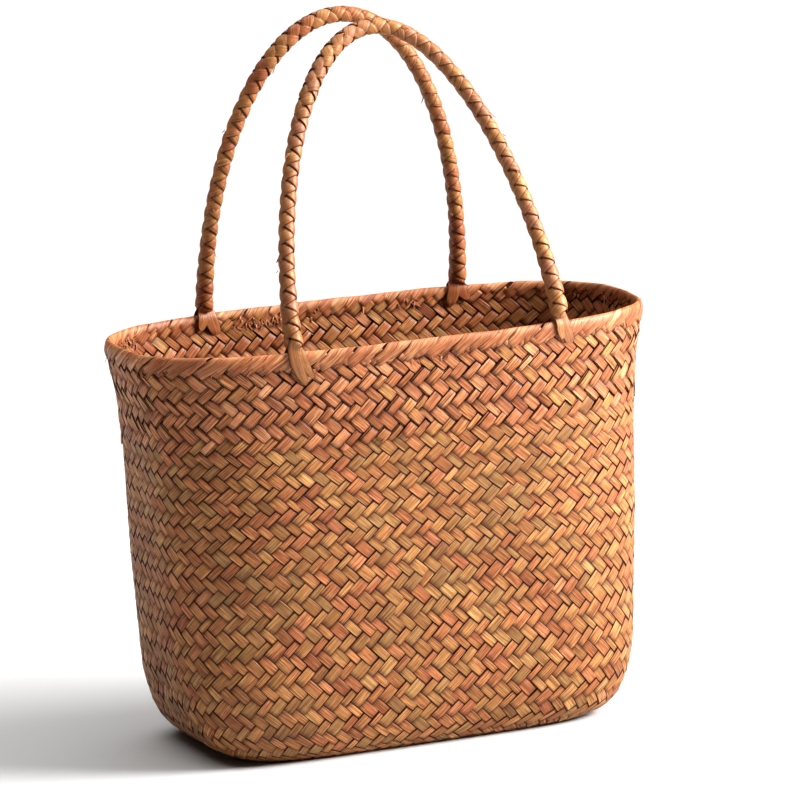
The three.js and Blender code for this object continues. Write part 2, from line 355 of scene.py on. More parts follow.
class StripBatch:
    """Strips gathered into one mesh, with the fibre and tint values that the straw finish reads."""

    def __init__(self):
        self.points = []
        self.quads = []
        self.caps = []
        self.fibres = []
        self.tints = []
        self.creases = []
        self.count = 0

    def add(self, ring, outward, across, along, seed, tint):
        """One closed strip. ring has the points round its section for each step along it.

        across is each point's distance from the middle line in millimetres, along is each step's
        distance from the start, and tint has the four values of each point.
        """
        steps, section = ring.shape[:2]
        side = ring[:-1, 2] - ring[:-1, 1]
        forward = ring[1:, 1] - ring[:-1, 1]
        facing = np.sum(np.cross(side, forward) * outward[:-1])
        base = self.count + np.arange(steps - 1)[:, None] * section
        here = np.arange(section)[None, :]
        after = (here + 1) % section
        quads = np.stack(
            [base + here, base + after, base + section + after, base + section + here], axis=-1
        ).reshape(-1, 4)
        first = self.count + np.arange(section)
        last = self.count + (steps - 1) * section + np.arange(section)
        if facing > 0:
            self.quads.append(quads)
            self.caps.append(first[::-1])
            self.caps.append(last)
        else:
            self.quads.append(quads[:, ::-1])
            self.caps.append(first)
            self.caps.append(last[::-1])
        self.points.append(ring.reshape(-1, 3))
        fibre = np.zeros((steps, section, 3))
        fibre[..., 0] = across
        fibre[..., 1] = along[:, None]
        fibre[..., 2] = seed
        self.fibres.append(fibre.reshape(-1, 3))
        self.tints.append(np.broadcast_to(tint, (steps, section, 4)).reshape(-1, 4))
        crease = np.full((steps, section), -1)
        # Only the flat section has creases
        if section == len(ACROSS):
            crease[:, CREASED] = CREASED
        self.creases.append(crease.reshape(-1))
        self.count += steps * section

    def finish(self, name, material, slot, nodes):
        """Makes the batch one mesh object that rides on the root body and stands for CAD nodes."""
        points = np.concatenate(self.points)
        quads = np.concatenate(self.quads)
        mesh = bpy.data.meshes.new(name)
        cap_sizes = np.array([len(c) for c in self.caps])
        loops = np.concatenate([quads.reshape(-1)] + self.caps)
        sizes = np.concatenate([np.full(len(quads), 4), cap_sizes])
        starts = np.concatenate([[0], np.cumsum(sizes)[:-1]])
        mesh.vertices.add(len(points))
        mesh.vertices.foreach_set("co", points.astype(np.float32).reshape(-1))
        mesh.loops.add(len(loops))
        mesh.loops.foreach_set("vertex_index", loops.astype(np.int32))
        mesh.polygons.add(len(sizes))
        mesh.polygons.foreach_set("loop_start", starts.astype(np.int32))
        mesh.update(calc_edges=True)
        mesh.polygons.foreach_set("use_smooth", np.ones(len(sizes), dtype=bool))
        ends = np.zeros(len(mesh.edges) * 2, dtype=np.int32)
        mesh.edges.foreach_get("vertices", ends)
        crease = np.concatenate(self.creases)[ends.reshape(-1, 2)]
        sharp = mesh.attributes.new("sharp_edge", "BOOLEAN", "EDGE")
        sharp.data.foreach_set("value", (crease[:, 0] >= 0) & (crease[:, 0] == crease[:, 1]))
        if mesh.validate(verbose=False):
            raise RuntimeError(name + " came out with broken faces")
        fibre = mesh.attributes.new("fibre", "FLOAT_VECTOR", "POINT")
        fibre.data.foreach_set("vector", np.concatenate(self.fibres).astype(np.float32).reshape(-1))
        tint = mesh.attributes.new("straw", "FLOAT_COLOR", "POINT")
        tint.data.foreach_set("color", np.concatenate(self.tints).astype(np.float32).reshape(-1))
        mesh.materials.append(material)
        piece = bpy.data.objects.new(name, mesh)
        bpy.context.scene.collection.objects.link(piece)
        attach(piece, "root")
        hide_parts(*nodes)
        return piece


# The finishes

# Powers of the red, green and blue with which straw darkens
SHADE_POWERS = (1.0, 1.34, 1.68)
BUMP_STRENGTH = 0.55
BUMP_DEPTH = 0.00022

# Noise scales: streaks and fibres go with the millimetres across and along a strip, and blotches and
# specks with the bag's own metres
FINE_ACROSS = 2.3
FINE_ALONG = 0.07
STREAK_ACROSS = 0.8
STREAK_ALONG = 0.035
STREAK_SEED = 31.7
BLOTCH_SCALE = 26.0
SPECK_SCALE = 420.0


class Finish:
    """A node material built step by step."""

    def __init__(self, name):
        self.material = bpy.data.materials.new(name)
        self.material.use_nodes = True
        self.tree = self.material.node_tree
        self.tree.nodes.clear()
        self.output = self.tree.nodes.new("ShaderNodeOutputMaterial")
        self.shader = self.tree.nodes.new("ShaderNodeBsdfPrincipled")
        self.tree.links.new(self.shader.outputs["BSDF"], self.output.inputs["Surface"])

    def put(self, socket, value):
        """Links a node's output to the socket, or sets the socket to a plain value."""
        if isinstance(value, bpy.types.NodeSocket):
            self.tree.links.new(value, socket)
        else:
            socket.default_value = value

    def attribute(self, name):
        """A node that reads one of the mesh's own attributes."""
        node = self.tree.nodes.new("ShaderNodeAttribute")
        node.attribute_type = "GEOMETRY"
        node.attribute_name = name
        return node

    def math(self, kind, a, b, clamp=False):
        """Two values added, multiplied or raised."""
        node = self.tree.nodes.new("ShaderNodeMath")
        node.operation = kind
        node.use_clamp = clamp
        self.put(node.inputs[0], a)
        self.put(node.inputs[1], b)
        return node.outputs[0]

    def split(self, vector):
        """The three parts of a vector."""
        node = self.tree.nodes.new("ShaderNodeSeparateXYZ")
        self.put(node.inputs[0], vector)
        return node.outputs

    def join(self, x, y, z):
        """A vector from its three parts."""
        node = self.tree.nodes.new("ShaderNodeCombineXYZ")
        self.put(node.inputs[0], x)
        self.put(node.inputs[1], y)
        self.put(node.inputs[2], z)
        return node.outputs[0]

    def noise(self, vector, scale, detail, roughness):
        """Soft chance values from nought to one."""
        node = self.tree.nodes.new("ShaderNodeTexNoise")
        self.put(node.inputs["Vector"], vector)
        node.inputs["Scale"].default_value = scale
        node.inputs["Detail"].default_value = detail
        node.inputs["Roughness"].default_value = roughness
        return node.outputs["Fac"]

    def spread(self, value, low, high, to_low, to_high):
        """The value carried from the range low to high onto another, and held at its ends."""
        node = self.tree.nodes.new("ShaderNodeMapRange")
        self.put(node.inputs[0], value)
        node.inputs[1].default_value = low
        node.inputs[2].default_value = high
        node.inputs[3].default_value = to_low
        node.inputs[4].default_value = to_high
        return node.outputs[0]

    def ramp(self, value, stops):
        """The colour at the value's place among the stops."""
        node = self.tree.nodes.new("ShaderNodeValToRGB")
        elements = node.color_ramp.elements
        while len(elements) < len(stops):
            elements.new(0.5)
        for element, (place, colour) in zip(elements, stops):
            element.position = place
            element.color = (*colour, 1.0)
        self.put(node.inputs[0], value)
        return node.outputs[0]

    def mix(self, share, a, b, kind="MIX"):
        """Two colours mixed or multiplied, by a share."""
        node = self.tree.nodes.new("ShaderNodeMix")
        node.data_type = "RGBA"
        node.blend_type = kind
        self.put(node.inputs[0], share)
        for socket, value in ((node.inputs[6], a), (node.inputs[7], b)):
            if isinstance(value, bpy.types.NodeSocket):
                self.tree.links.new(value, socket)
            else:
                socket.default_value = (*value, 1.0)
        return node.outputs[2]

    def toned(self, value):
        """A brightness that turns redder as it darkens, as dry straw does."""
        node = self.tree.nodes.new("ShaderNodeCombineColor")
        for socket, power in zip(node.inputs[:3], SHADE_POWERS):
            self.put(socket, self.math("POWER", value, power))
        return node.outputs[0]


def straw_finish(name, colours, first, roughness, gloss, contrast=1.0):
    """Dry straw: fibres along the strip, streaks, blotches, painted shade at the edges and dives, and a few
    dark ridges.

    first is the colour at a hue of nought, from which the hue goes on to golden, warm, reddish and
    blush.
    """
    finish = Finish(name)
    fibre = finish.attribute("fibre")
    tint = finish.attribute("straw")
    across, along, seed = finish.split(fibre.outputs["Vector"])
    parts = finish.tree.nodes.new("ShaderNodeSeparateColor")
    finish.put(parts.inputs[0], tint.outputs["Color"])
    # The third value, edge, is the share of painted shade
    tone, hue, edge = parts.outputs
    ridge = tint.outputs["Alpha"]
    fine = finish.noise(
        finish.join(
            finish.math("MULTIPLY", across, FINE_ACROSS),
            finish.math("MULTIPLY", along, FINE_ALONG),
            seed,
        ),
        1.0, 3.0, 0.6,
    )
    streak = finish.noise(
        finish.join(
            finish.math("MULTIPLY", across, STREAK_ACROSS),
            finish.math("MULTIPLY", along, STREAK_ALONG),
            finish.math("ADD", seed, STREAK_SEED),
        ),
        1.0, 2.0, 0.5,
    )
    place = finish.tree.nodes.new("ShaderNodeTexCoord").outputs["Object"]
    blotch = finish.noise(place, BLOTCH_SCALE, 3.0, 0.55)
    speck = finish.noise(place, SPECK_SCALE, 2.0, 0.6)
    lean = finish.math("ADD", hue, finish.spread(streak, 0.3, 0.7, -0.22 * contrast, 0.22 * contrast))
    lean = finish.math("ADD", lean, finish.spread(fine, 0.38, 0.62, 0.20 * contrast, -0.16 * contrast))
    lean = finish.math("ADD", lean, finish.spread(blotch, 0.3, 0.7, -0.14, 0.14))
    colour = finish.ramp(
        lean,
        [
            (0.0, first),
            (0.30, colours.golden),
            (0.52, colours.warm),
            (0.74, colours.reddish),
            (1.0, colours.blush),
        ],
    )
    light = finish.spread(tone, 0.0, 1.0, 0.66, 1.26)
    light = finish.math(
        "MULTIPLY", light, finish.spread(fine, 0.38, 0.63, 1 - 0.42 * contrast, 1 + 0.24 * contrast)
    )
    light = finish.math(
        "MULTIPLY", light, finish.spread(streak, 0.35, 0.65, 1 - 0.16 * contrast, 1 + 0.12 * contrast)
    )
    light = finish.math("MULTIPLY", light, finish.spread(speck, 0.3, 0.7, 0.95, 1.05))
    colour = finish.mix(1.0, colour, finish.toned(light), "MULTIPLY")
    lines = finish.spread(fine, 0.45, 0.37, 0.0, 1.0)
    lines = finish.math("MULTIPLY", lines, finish.spread(ridge, 0.0, 1.0, 0.1, 0.85), True)
    colour = finish.mix(lines, colour, colours.ridge)
    # Painted shade: the edges, and the places where a strip dives under another, are darkened towards the
    # edge colour for the shade in the gaps
    shade = finish.spread(edge, EDGE_BASE, 0.62, 0.0, 1.0)
    shade = finish.math("MULTIPLY", shade, finish.spread(blotch, 0.3, 0.7, 0.8, 1.1), True)
    colour = finish.mix(shade, colour, colours.edge)
    finish.put(finish.shader.inputs["Base Color"], colour)
    finish.put(
        finish.shader.inputs["Roughness"], finish.spread(fine, 0.3, 0.7, roughness + 0.07, roughness - 0.06)
    )
    finish.shader.inputs["Specular IOR Level"].default_value = gloss
    bump = finish.tree.nodes.new("ShaderNodeBump")
    bump.inputs["Strength"].default_value = BUMP_STRENGTH
    bump.inputs["Distance"].default_value = BUMP_DEPTH
    height = finish.math("ADD", fine, finish.math("MULTIPLY", streak, 0.8))
    finish.put(bump.inputs["Height"], height)
    finish.put(finish.shader.inputs["Normal"], bump.outputs["Normal"])
    return finish.material


# The plaited wall and floor

# Three steps for each crossing, as shares of its span from its middle
STEP_PLACES = np.array([-1 / 3, 0.0, 1 / 3])

# How far out a strip is beside a dive under the next one and in the middle of a crossing, as a share
DIVE_LEVEL = 0.80
MIDDLE_LEVEL = 0.97

# Spreads of the chance differences between one stretch of a strip and the next: lift and tilt in
# millimetres, tone and hue as shares, and the shift to one side in cells
RUN_LIFT = 0.07
RUN_TILT = 0.12
RUN_TONE = 0.12
RUN_HUE = 0.08
RUN_SHIFT = 0.016

# An edge is off its cell's by this share of a cell at most
MOST_UNEVEN = 0.3

# Above the double row: how much more a strip lifts and tilts and how much thinner it is, as shares, and
# how far it sinks in millimetres
DOUBLE_LIFT = 0.45
DOUBLE_TILT = 0.7
DOUBLE_THIN = 0.30
DOUBLE_SINK = 0.20

# The end of a strip that is turned back down over itself: how far out of the strip below it lies and
# its thickness, in millimetres, and the share of such ends that are tucked under a crossing
TURNED_OUT = 0.64
TURNED_THICK = 0.58
TUCKED_SHARE = 0.7


def strip_course(rising, number):
    """Where a floor strip starts and ends its run on the floor, and by which sides it leaves.

    A rising strip keeps x - y and a falling one keeps x + y. The run is in crossings of the other kind.
    """
    if rising:
        starts = ((number - FLOOR_WIDE, FRONT), (-FLOOR_LONG - number, LEFT))
        ends = ((number + FLOOR_WIDE, BACK), (FLOOR_LONG - number, RIGHT))
    else:
        starts = ((number - FLOOR_WIDE, BACK), (-FLOOR_LONG - number, LEFT))
        ends = ((number + FLOOR_WIDE, FRONT), (FLOOR_LONG - number, RIGHT))
    return max(starts), min(ends)


def lattice_xy(rising, number, other):
    """The floor's lattice place where a strip meets the other kind's line."""
    if rising:
        return (number + other) / 2, (other - number) / 2
    return (number + other) / 2, (number - other) / 2


def runs_up_right(rising, side):
    """True where the strip climbs the wall towards higher cells on that side."""
    if rising:
        return side in (LEFT, RIGHT)
    return side in (FRONT, BACK)


def over_signs(rising, number, crossings, start, end):
    """Plus one where the strip passes over at each crossing, minus one where it passes under."""
    signs = np.zeros(len(crossings))
    for index, other in enumerate(crossings):
        if other <= start[0]:
            row = start[0] - other
            climbs = runs_up_right(rising, start[1])
        elif other >= end[0]:
            row = other - end[0]
            climbs = runs_up_right(rising, end[1])
        else:
            x, y = lattice_xy(rising, number, other)
            from_long = HALF_WIDE - abs(y)
            from_short = HALF_LONG - abs(x)
            row = round(-2 * min(from_long, from_short))
            climbs = runs_up_right(rising, FRONT if from_long < from_short else RIGHT)
        first_kind = row % (2 * OVER_ROWS) < OVER_ROWS
        signs[index] = 1.0 if first_kind == climbs else -1.0
    return signs


class Plaiting:
    """The random widths, tints and lifts of the strips, and the strips' making."""

    def __init__(self, form, settings):
        self.form = form
        self.settings = settings
        self.rng = np.random.default_rng(settings.seed)
        self.reach = FLOOR_LONG // 2 + int(HALF_WIDE)
        self.edges = {}
        for rising in (True, False):
            edge = self.rng.normal(0.0, settings.uneven_width, 2 * self.reach + 2)
            edge[::2] += settings.paired_width
            edge[1::2] -= settings.paired_width
            edge = np.clip(edge, -MOST_UNEVEN, MOST_UNEVEN)
            edge[0] = 0.0
            edge[-1] = 0.0
            self.edges[rising] = edge
        self.wall_edges = self.spread_edges()

    def spread_edges(self):
        """How far the edges of each strip are off its cell's, by climbing direction and first cell."""
        table = {True: np.zeros((ROUND_CELLS, 2)), False: np.zeros((ROUND_CELLS, 2))}
        for rising in (True, False):
            for number in range(-self.reach, self.reach + 1):
                low, high = self.edges[rising][number + self.reach : number + self.reach + 2]
                for other, side in strip_course(rising, number):
                    cell, _ = wall_place(side, *lattice_xy(rising, number, other))
                    same_way = side == FRONT or side == (LEFT if rising else RIGHT)
                    climbs = runs_up_right(rising, side)
                    table[climbs][round(cell) % ROUND_CELLS] = (low, high) if same_way else (-high, -low)
        return table

    def crossing_spans(self, rising, number, crossings, start, end):
        """From where to where each crossed strip lies along this one."""
        low = np.zeros(len(crossings))
        high = np.zeros(len(crossings))
        for index, other in enumerate(crossings):
            if start[0] < other < end[0]:
                spans = self.edges[not rising][other + self.reach : other + self.reach + 2]
                low[index], high[index] = spans
                continue
            side = start[1] if other <= start[0] else end[1]
            climbs = runs_up_right(rising, side)
            first = []
            for place in (other, other + 1):
                cell, row = wall_place(side, *lattice_xy(rising, number, place))
                first.append(cell + row / 2 if climbs else cell - row / 2)
            spans = self.wall_edges[not climbs][round(first[0]) % ROUND_CELLS]
            if first[1] < first[0]:
                spans = (-spans[1], -spans[0])
            low[index], high[index] = spans
        return crossings - 0.5 + low, crossings + 0.5 + high

    def lay(self, rising, number, course, other, side, offsets, depth, thick):
        """The rings of a strip whose middle face is at a depth in millimetres below the outer face.

        course is the strip's start and end on the floor. side tells where each step lies, offsets are
        the section's points in cells off the strip's line, and thick is in millimetres.
        """
        x, y = lattice_xy(rising, number + offsets, other[:, None])
        points = np.zeros(x.shape + (3,))
        normals = np.zeros(x.shape + (3,))
        for one in (course[0][1], course[1][1]):
            chosen = side == one
            cell, row_here = wall_place(one, x[chosen], y[chosen])
            points[chosen], normals[chosen] = self.form.at(cell, row_here)
        chosen = side == ON_FLOOR
        points[chosen], normals[chosen] = self.floor_points(x[chosen], y[chosen])
        below = depth - CROWN * thick / 2
        underneath = normals[..., 2] < -0.9
        below = np.where(underneath, np.maximum(below, GROUND_CLEARANCE), below)
        return points - (below * MM)[..., None] * normals, normals[:, 1]

    def tints(self, steps, tone, hue, shade, ridge):
        """The four straw values of each point."""
        tint = np.zeros((steps, len(ACROSS), 4))
        tint[..., 0] = np.clip(tone, 0.0, 1.0)
        tint[..., 1] = np.clip(hue, 0.0, 1.0)
        tint[..., 2] = np.clip(shade, 0.0, 1.0)
        tint[..., 3] = np.clip(ridge, 0.0, 1.0)
        return tint

    def strip(self, batch, rising, number):
        """One strip up one side of the bag, across its floor and up the other side."""
        rng = self.rng
        settings = self.settings
        start, end = strip_course(rising, number)
        crossings = np.arange(start[0] - WALL_ROWS + 1, end[0] + WALL_ROWS)
        signs = over_signs(rising, number, crossings, start, end)
        before = np.concatenate([[signs[0]], signs[:-1]])
        after = np.concatenate([signs[1:], [signs[-1]]])
        same_before = before == signs
        same_after = after == signs
        count = len(crossings)
        span_low, span_high = self.crossing_spans(rising, number, crossings, start, end)
        other = (span_low + span_high)[:, None] / 2
        other = (other + (span_high - span_low)[:, None] * STEP_PLACES).reshape(-1)
        level = np.stack(
            [
                np.where(same_before, 1.0, DIVE_LEVEL),
                np.full(count, MIDDLE_LEVEL),
                np.where(same_after, 1.0, DIVE_LEVEL),
            ],
            axis=1,
        )
        dive = np.stack(
            [
                np.where(same_before, 0.0, 1.0),
                np.zeros(count),
                np.where(same_after, 0.0, 1.0),
            ],
            axis=1,
        ).reshape(-1)
        run = np.concatenate([[0], np.cumsum(~same_before[1:])])
        runs = run[-1] + 1
        run_lift = np.clip(rng.normal(0.0, RUN_LIFT, runs), -0.15, 0.2)[run]
        run_tilt = rng.normal(0.0, RUN_TILT, runs)[run]
        run_tone = np.repeat(rng.normal(0.0, RUN_TONE, runs)[run], 3)
        run_hue = np.repeat(rng.normal(0.0, RUN_HUE, runs)[run], 3)
        run_shift = np.repeat(rng.normal(0.0, RUN_SHIFT, runs)[run], 3)
        side = np.full(count, ON_FLOOR)
        side[crossings <= start[0]] = start[1]
        side[crossings >= end[0]] = end[1]
        side = np.repeat(side, 3)
        row = np.maximum(start[0] - other, other - end[0])
        double = ease(row - DOUBLE_ROW + 0.5)
        lift = (settings.weave_lift / MM) * (signs[:, None] * level)
        lift = (lift + np.where(signs > 0, run_lift, run_lift * 0.4)[:, None]).reshape(-1)
        lift = lift * (1 + DOUBLE_LIFT * double) - DOUBLE_SINK * double
        tilt = np.repeat(run_tilt, 3) * (1 - 0.5 * dive) * (1 + DOUBLE_TILT * double)
        index = number + self.reach
        low = -0.5 + self.edges[rising][index]
        high = 0.5 + self.edges[rising][index + 1]
        drift = 0.03 * np.sin(other * rng.uniform(0.12, 0.3) + rng.uniform(0, PHASE_TOP))
        middle = (low + high) / 2 + run_shift * (1 + double) + drift
        gap = settings.strip_gap + 0.03 * rng.random() + 0.02 * dive
        half = np.maximum((high - low) / 2 - gap, 0.2)
        offsets = middle[:, None] + half[:, None] * ACROSS[None, :]
        depth = WALL_MIDDLE - lift[:, None] - tilt[:, None] * ACROSS[None, :]
        thick = settings.strip_thickness / MM * rng.uniform(0.92, 1.08)
        thick = thick * (1 - DOUBLE_THIN * double[:, None])
        course = (start, end)
        ring, outward = self.lay(rising, number, course, other, side, offsets, depth, thick)
        # Painted shade: dark at the strip's edges, and where it dives under a crossing strip, darkest on
        # the face that goes under, for the shade in the gaps and under the crossings
        hidden = (np.repeat(signs, 3)[:, None] > 0) == UNDERSIDE[None, :]
        shade = EDGE[None, :] + dive[:, None] * np.where(hidden, 1.0, 0.16)
        tone = np.clip(rng.normal(0.5, 0.16), 0.1, 0.95) + run_tone
        hue = np.clip(rng.normal(0.37, 0.18), 0.0, 1.0) + run_hue + 0.22 * double
        ridge = 1.0 if rng.random() < 0.3 else 0.45 * rng.random()
        tint = self.tints(len(other), tone[:, None], hue[:, None], shade, ridge + 0.25 * double[:, None])
        batch.add(ring, outward, offsets * CELL_MM, other * CELL_MM, rng.uniform(0, FIBRE_SEEDS), tint)

        # Both ends again, turned back down over the strip above the double row
        for at_start in (True, False):
            height = start[0] - other if at_start else other - end[0]
            under = (np.repeat(signs, 3) < 0) & (dive < 0.5)
            tucked = rng.random() < TUCKED_SHARE
            first_row = DOUBLE_ROW + rng.uniform(-1.5, 0.8)
            places = np.nonzero((height > first_row) & (under | (not tucked)))[0]
            low_end = places.max() if at_start else places.min()
            chosen = slice(0, low_end + 1) if at_start else slice(low_end, len(other))
            steps = len(other[chosen])
            shift = rng.choice([-1.0, 1.0]) * rng.uniform(0.04, 0.11) + rng.normal(0, 0.015, steps)
            narrow = rng.uniform(0.82, 1.0) * half[chosen]
            lean = rng.normal(0.0, 0.12)
            above_offsets = (middle[chosen] + shift)[:, None] + narrow[:, None] * ACROSS
            above_depth = depth[chosen] - TURNED_OUT - lean * ACROSS
            ring, outward = self.lay(
                rising, number, course, other[chosen], side[chosen],
                above_offsets, above_depth, TURNED_THICK,
            )
            tone_above = np.clip(rng.normal(0.6, 0.14), 0.15, 1.0) + run_tone[chosen]
            hue_above = np.clip(rng.normal(0.72, 0.14), 0.0, 1.0) + run_hue[chosen]
            # The turned ends take the painted shade of the strip below
            shade_above = np.broadcast_to(shade[chosen], ring.shape[:2])
            ridge_above = 1.0 if rng.random() < 0.45 else 0.5
            tint = self.tints(steps, tone_above[:, None], hue_above[:, None], shade_above, ridge_above)
            across = above_offsets * CELL_MM
            seed = rng.uniform(0, FIBRE_SEEDS)
            batch.add(ring, outward, across, other[chosen] * CELL_MM, seed, tint)

    def floor_points(self, x, y):
        """Floor places, with the few that reach past the floor's edge taken up the wall."""
        points, normals = self.form.floor(x, y)
        past_long = np.abs(y) - HALF_WIDE
        past_short = np.abs(x) - HALF_LONG
        for side, past in (
            (FRONT, (past_long > 0) & (past_long >= past_short) & (y < 0)),
            (BACK, (past_long > 0) & (past_long >= past_short) & (y > 0)),
            (RIGHT, (past_short > 0) & (past_short > past_long) & (x > 0)),
            (LEFT, (past_short > 0) & (past_short > past_long) & (x < 0)),
        ):
            if past.any():
                cell, row = wall_place(side, x[past], y[past])
                points[past], normals[past] = self.form.at(cell, row)
        return points, normals


# The turned rim

# The fold over the wall's top, in millimetres: its half thickness, how high it stands over its centre,
# and how far the centre is below the top of the CAD rim
FOLD_RADIUS = 1.9
FOLD_RISE = 3.0
FOLD_CENTRE_DROP = 3.5
CAD_RIM_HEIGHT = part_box("rim_fold")[1].z

# The turns of straw: the step from one to the next along the rim in millimetres, and their widths in
# steps. Wide and narrow turns follow each other, and the narrow ones are shorter on the outside.
WRAP_SPACING = 7.93
WRAP_COVER_WIDE = 1.42
WRAP_COVER_NARROW = 1.16
WRAP_SHORTER = 1.3

# Millimetres: a turn's thickness on the faces, how much of it goes at the crest, how far its outer and
# inner ends are tucked in, how far one edge is tilted out, how far the crest reaches from its top,
# the length over which it fades, and how far the finer steps go on past the bend
WRAP_THICK = 0.56
WRAP_THINNED = 0.44
WRAP_TUCK_OUTSIDE = 0.8
WRAP_TUCK_INSIDE = 1.2
WRAP_TILT = 0.18
WRAP_TILT_CHANGE = 0.03
CREST_HALF = 1.6
CREST_FADE = 3.0
BEND_MARGIN = 0.6

# Frayed ends: how many to a cluster, the share of them inside the bag, and a sliver's steps, the height
# of its face in millimetres and its taper
FRAYS_PER_CLUSTER = 7
FRAYS_INSIDE = 0.85
SLIVER_STEPS = 5
SLIVER_THICK = 0.12
SLIVER_TAPER = np.array([1.0, 0.9, 0.75, 0.5, 0.2])


class RimPath:
    """The middle face of the straw that is turned over the wall's top.

    path is in millimetres from the crest's top, below nought outside the bag and above it inside.
    """

    def __init__(self, form):
        self.form = form
        self.quarter = FOLD_RADIUS * math.pi / 2
        top, _ = form.look_up(np.array([0.0]), np.array([float(WALL_ROWS)]))
        self.below_top = top[0, 2] / MM - (CAD_RIM_HEIGHT / MM - FOLD_CENTRE_DROP)
        self.row_step = form.row_height_top / MM

    def at(self, cell, path, lift):
        """Points and outward normals. lift is in millimetres off the middle face."""
        cell, path, lift = np.broadcast_arrays(cell, path, lift)
        straight = np.maximum(np.abs(path) - self.quarter, 0.0)
        row = WALL_ROWS - (self.below_top + straight) / self.row_step
        wall, normal = self.form.look_up(cell, row)
        centre_row = np.full(cell.shape, WALL_ROWS - self.below_top / self.row_step)
        centre, centre_normal = self.form.look_up(cell, centre_row)
        centre = centre - WALL_MIDDLE * MM * centre_normal
        upward = np.zeros_like(normal)
        upward[..., 2] = 1.0
        turn = np.clip(path / FOLD_RADIUS, -math.pi / 2, math.pi / 2)[..., None]
        round_normal = np.cos(turn) * upward - np.sin(turn) * centre_normal
        bend = centre + (FOLD_RISE + lift)[..., None] * MM * np.cos(turn) * upward
        bend = bend - (FOLD_RADIUS + lift)[..., None] * MM * np.sin(turn) * centre_normal
        outside = wall + (FOLD_RADIUS - WALL_MIDDLE + lift)[..., None] * MM * normal
        inside = wall - (FOLD_RADIUS + WALL_MIDDLE + lift)[..., None] * MM * normal
        on_bend = (np.abs(path) <= self.quarter)[..., None]
        is_out = (path < 0)[..., None]
        points = np.where(on_bend, bend, np.where(is_out, outside, inside))
        normals = np.where(on_bend, round_normal, np.where(is_out, normal, -normal))
        return points, normals


def add_rim_wrap(batch, path_form, rng, index, settings):
    """One slanting turn of straw: up the outside, over the crest and down the inside."""
    rise = settings.wrap_rise
    paired = index % 2 == 0
    half_width = WRAP_SPACING * math.sin(rise) / 2 * (WRAP_COVER_WIDE if paired else WRAP_COVER_NARROW)
    start = -settings.rim_outside / MM + (0.0 if paired else WRAP_SHORTER) + rng.normal(0, 0.3)
    end = settings.rim_inside / MM + rng.normal(0, 0.9)
    quarter = path_form.quarter
    along = np.concatenate(
        [
            np.linspace(start, -quarter - BEND_MARGIN, 7, endpoint=False),
            np.linspace(-quarter - BEND_MARGIN, quarter + BEND_MARGIN, 11, endpoint=False),
            np.linspace(quarter + BEND_MARGIN, end, 6),
        ]
    )
    slope = 1 / math.tan(rise)
    cell_mm = path_form.form.cell_width_top / MM
    cell = index + rng.normal(0, 0.05) + (along - start) * slope / cell_mm
    bend = 0.10 * np.sin(along * 0.35 + rng.uniform(0, PHASE_TOP))
    cells = (cell + bend)[:, None] + WRAP_ACROSS * half_width * math.sin(rise) / cell_mm
    paths = along[:, None] - WRAP_ACROSS * half_width * math.cos(rise)
    low = ease((along - start) / 1.4)
    high = ease((end - along) / 2.0)
    crest = 1 - ease((np.abs(paths) - CREST_HALF) / CREST_FADE)
    wave = 0.16 * np.sin(cells * 0.83) + 0.10 * np.sin(cells * 1.93 + 1.1)
    lift = (0.10 if paired else -0.05) + rng.normal(0, 0.04)
    tuck = WRAP_TUCK_OUTSIDE * (1 - low)
    lift = (lift - tuck - WRAP_TUCK_INSIDE * (1 - high))[:, None] * (1 - crest) + wave * crest
    thick = WRAP_THICK - WRAP_THINNED * crest
    lift = lift + (WRAP_TILT + rng.normal(0, WRAP_TILT_CHANGE)) * (1 - 0.95 * crest) * WRAP_ACROSS
    ring, normals = path_form.at(cells, paths, lift + WRAP_CROWN * thick / 2)
    tint = np.zeros((len(along), len(WRAP_ACROSS), 4))
    # Painted highlight: the tone is raised along the crest, where the light from above falls on the fold
    tint[..., 0] = np.clip(rng.normal(0.42, 0.12) + 0.20 * crest, 0, 1)
    tint[..., 1] = np.clip(rng.normal(0.88, 0.12), 0, 1)
    # Painted shade at the wrap's edges, lighter over the crest
    tint[..., 2] = EDGE_BASE + (WRAP_PAINTED_EDGE_SHADE - EDGE_BASE) * (0.66 - 0.30 * crest)
    tint[..., 3] = 0.9 if rng.random() < 0.35 else 0.4
    across = np.broadcast_to(WRAP_ACROSS * half_width, cells.shape)
    batch.add(ring, normals[:, 1], across, along / math.sin(rise), rng.uniform(0, FIBRE_SEEDS), tint)


def add_sliver(batch, rng, place, way, outward, length, width, rise):
    """A frayed end of straw: a thin sliver that lifts off as it goes.

    place is in metres, length, width and rise are in millimetres.
    """
    share = np.linspace(0.0, 1.0, SLIVER_STEPS)
    aside = unit(np.cross(outward, way))
    curl = rng.normal(0.0, 0.25) * length
    centre = place + share[:, None] * way * length * MM
    centre = centre + (share[:, None] ** 2) * aside * curl * MM
    centre = centre + (rise * share[:, None] ** 1.6) * outward * MM
    half = width / 2 * SLIVER_TAPER
    ring = centre[:, None, :] + (half[:, None] * ACROSS)[..., None] * aside * MM
    ring = ring + (CROWN * SLIVER_THICK)[None, :, None] * outward * MM
    tint = np.zeros((SLIVER_STEPS, len(ACROSS), 4))
    tint[..., 0] = rng.uniform(0.35, 1.0)
    tint[..., 1] = rng.uniform(0.64, 0.80)
    tint[..., 2] = 0.2
    tint[..., 3] = rng.uniform(0.3, 1.0)
    across = np.broadcast_to(half[:, None] * ACROSS, ring.shape[:2])
    outwards = np.broadcast_to(outward, (SLIVER_STEPS, 3))
    batch.add(ring, outwards, across, share * length, rng.uniform(0, FIBRE_SEEDS), tint)


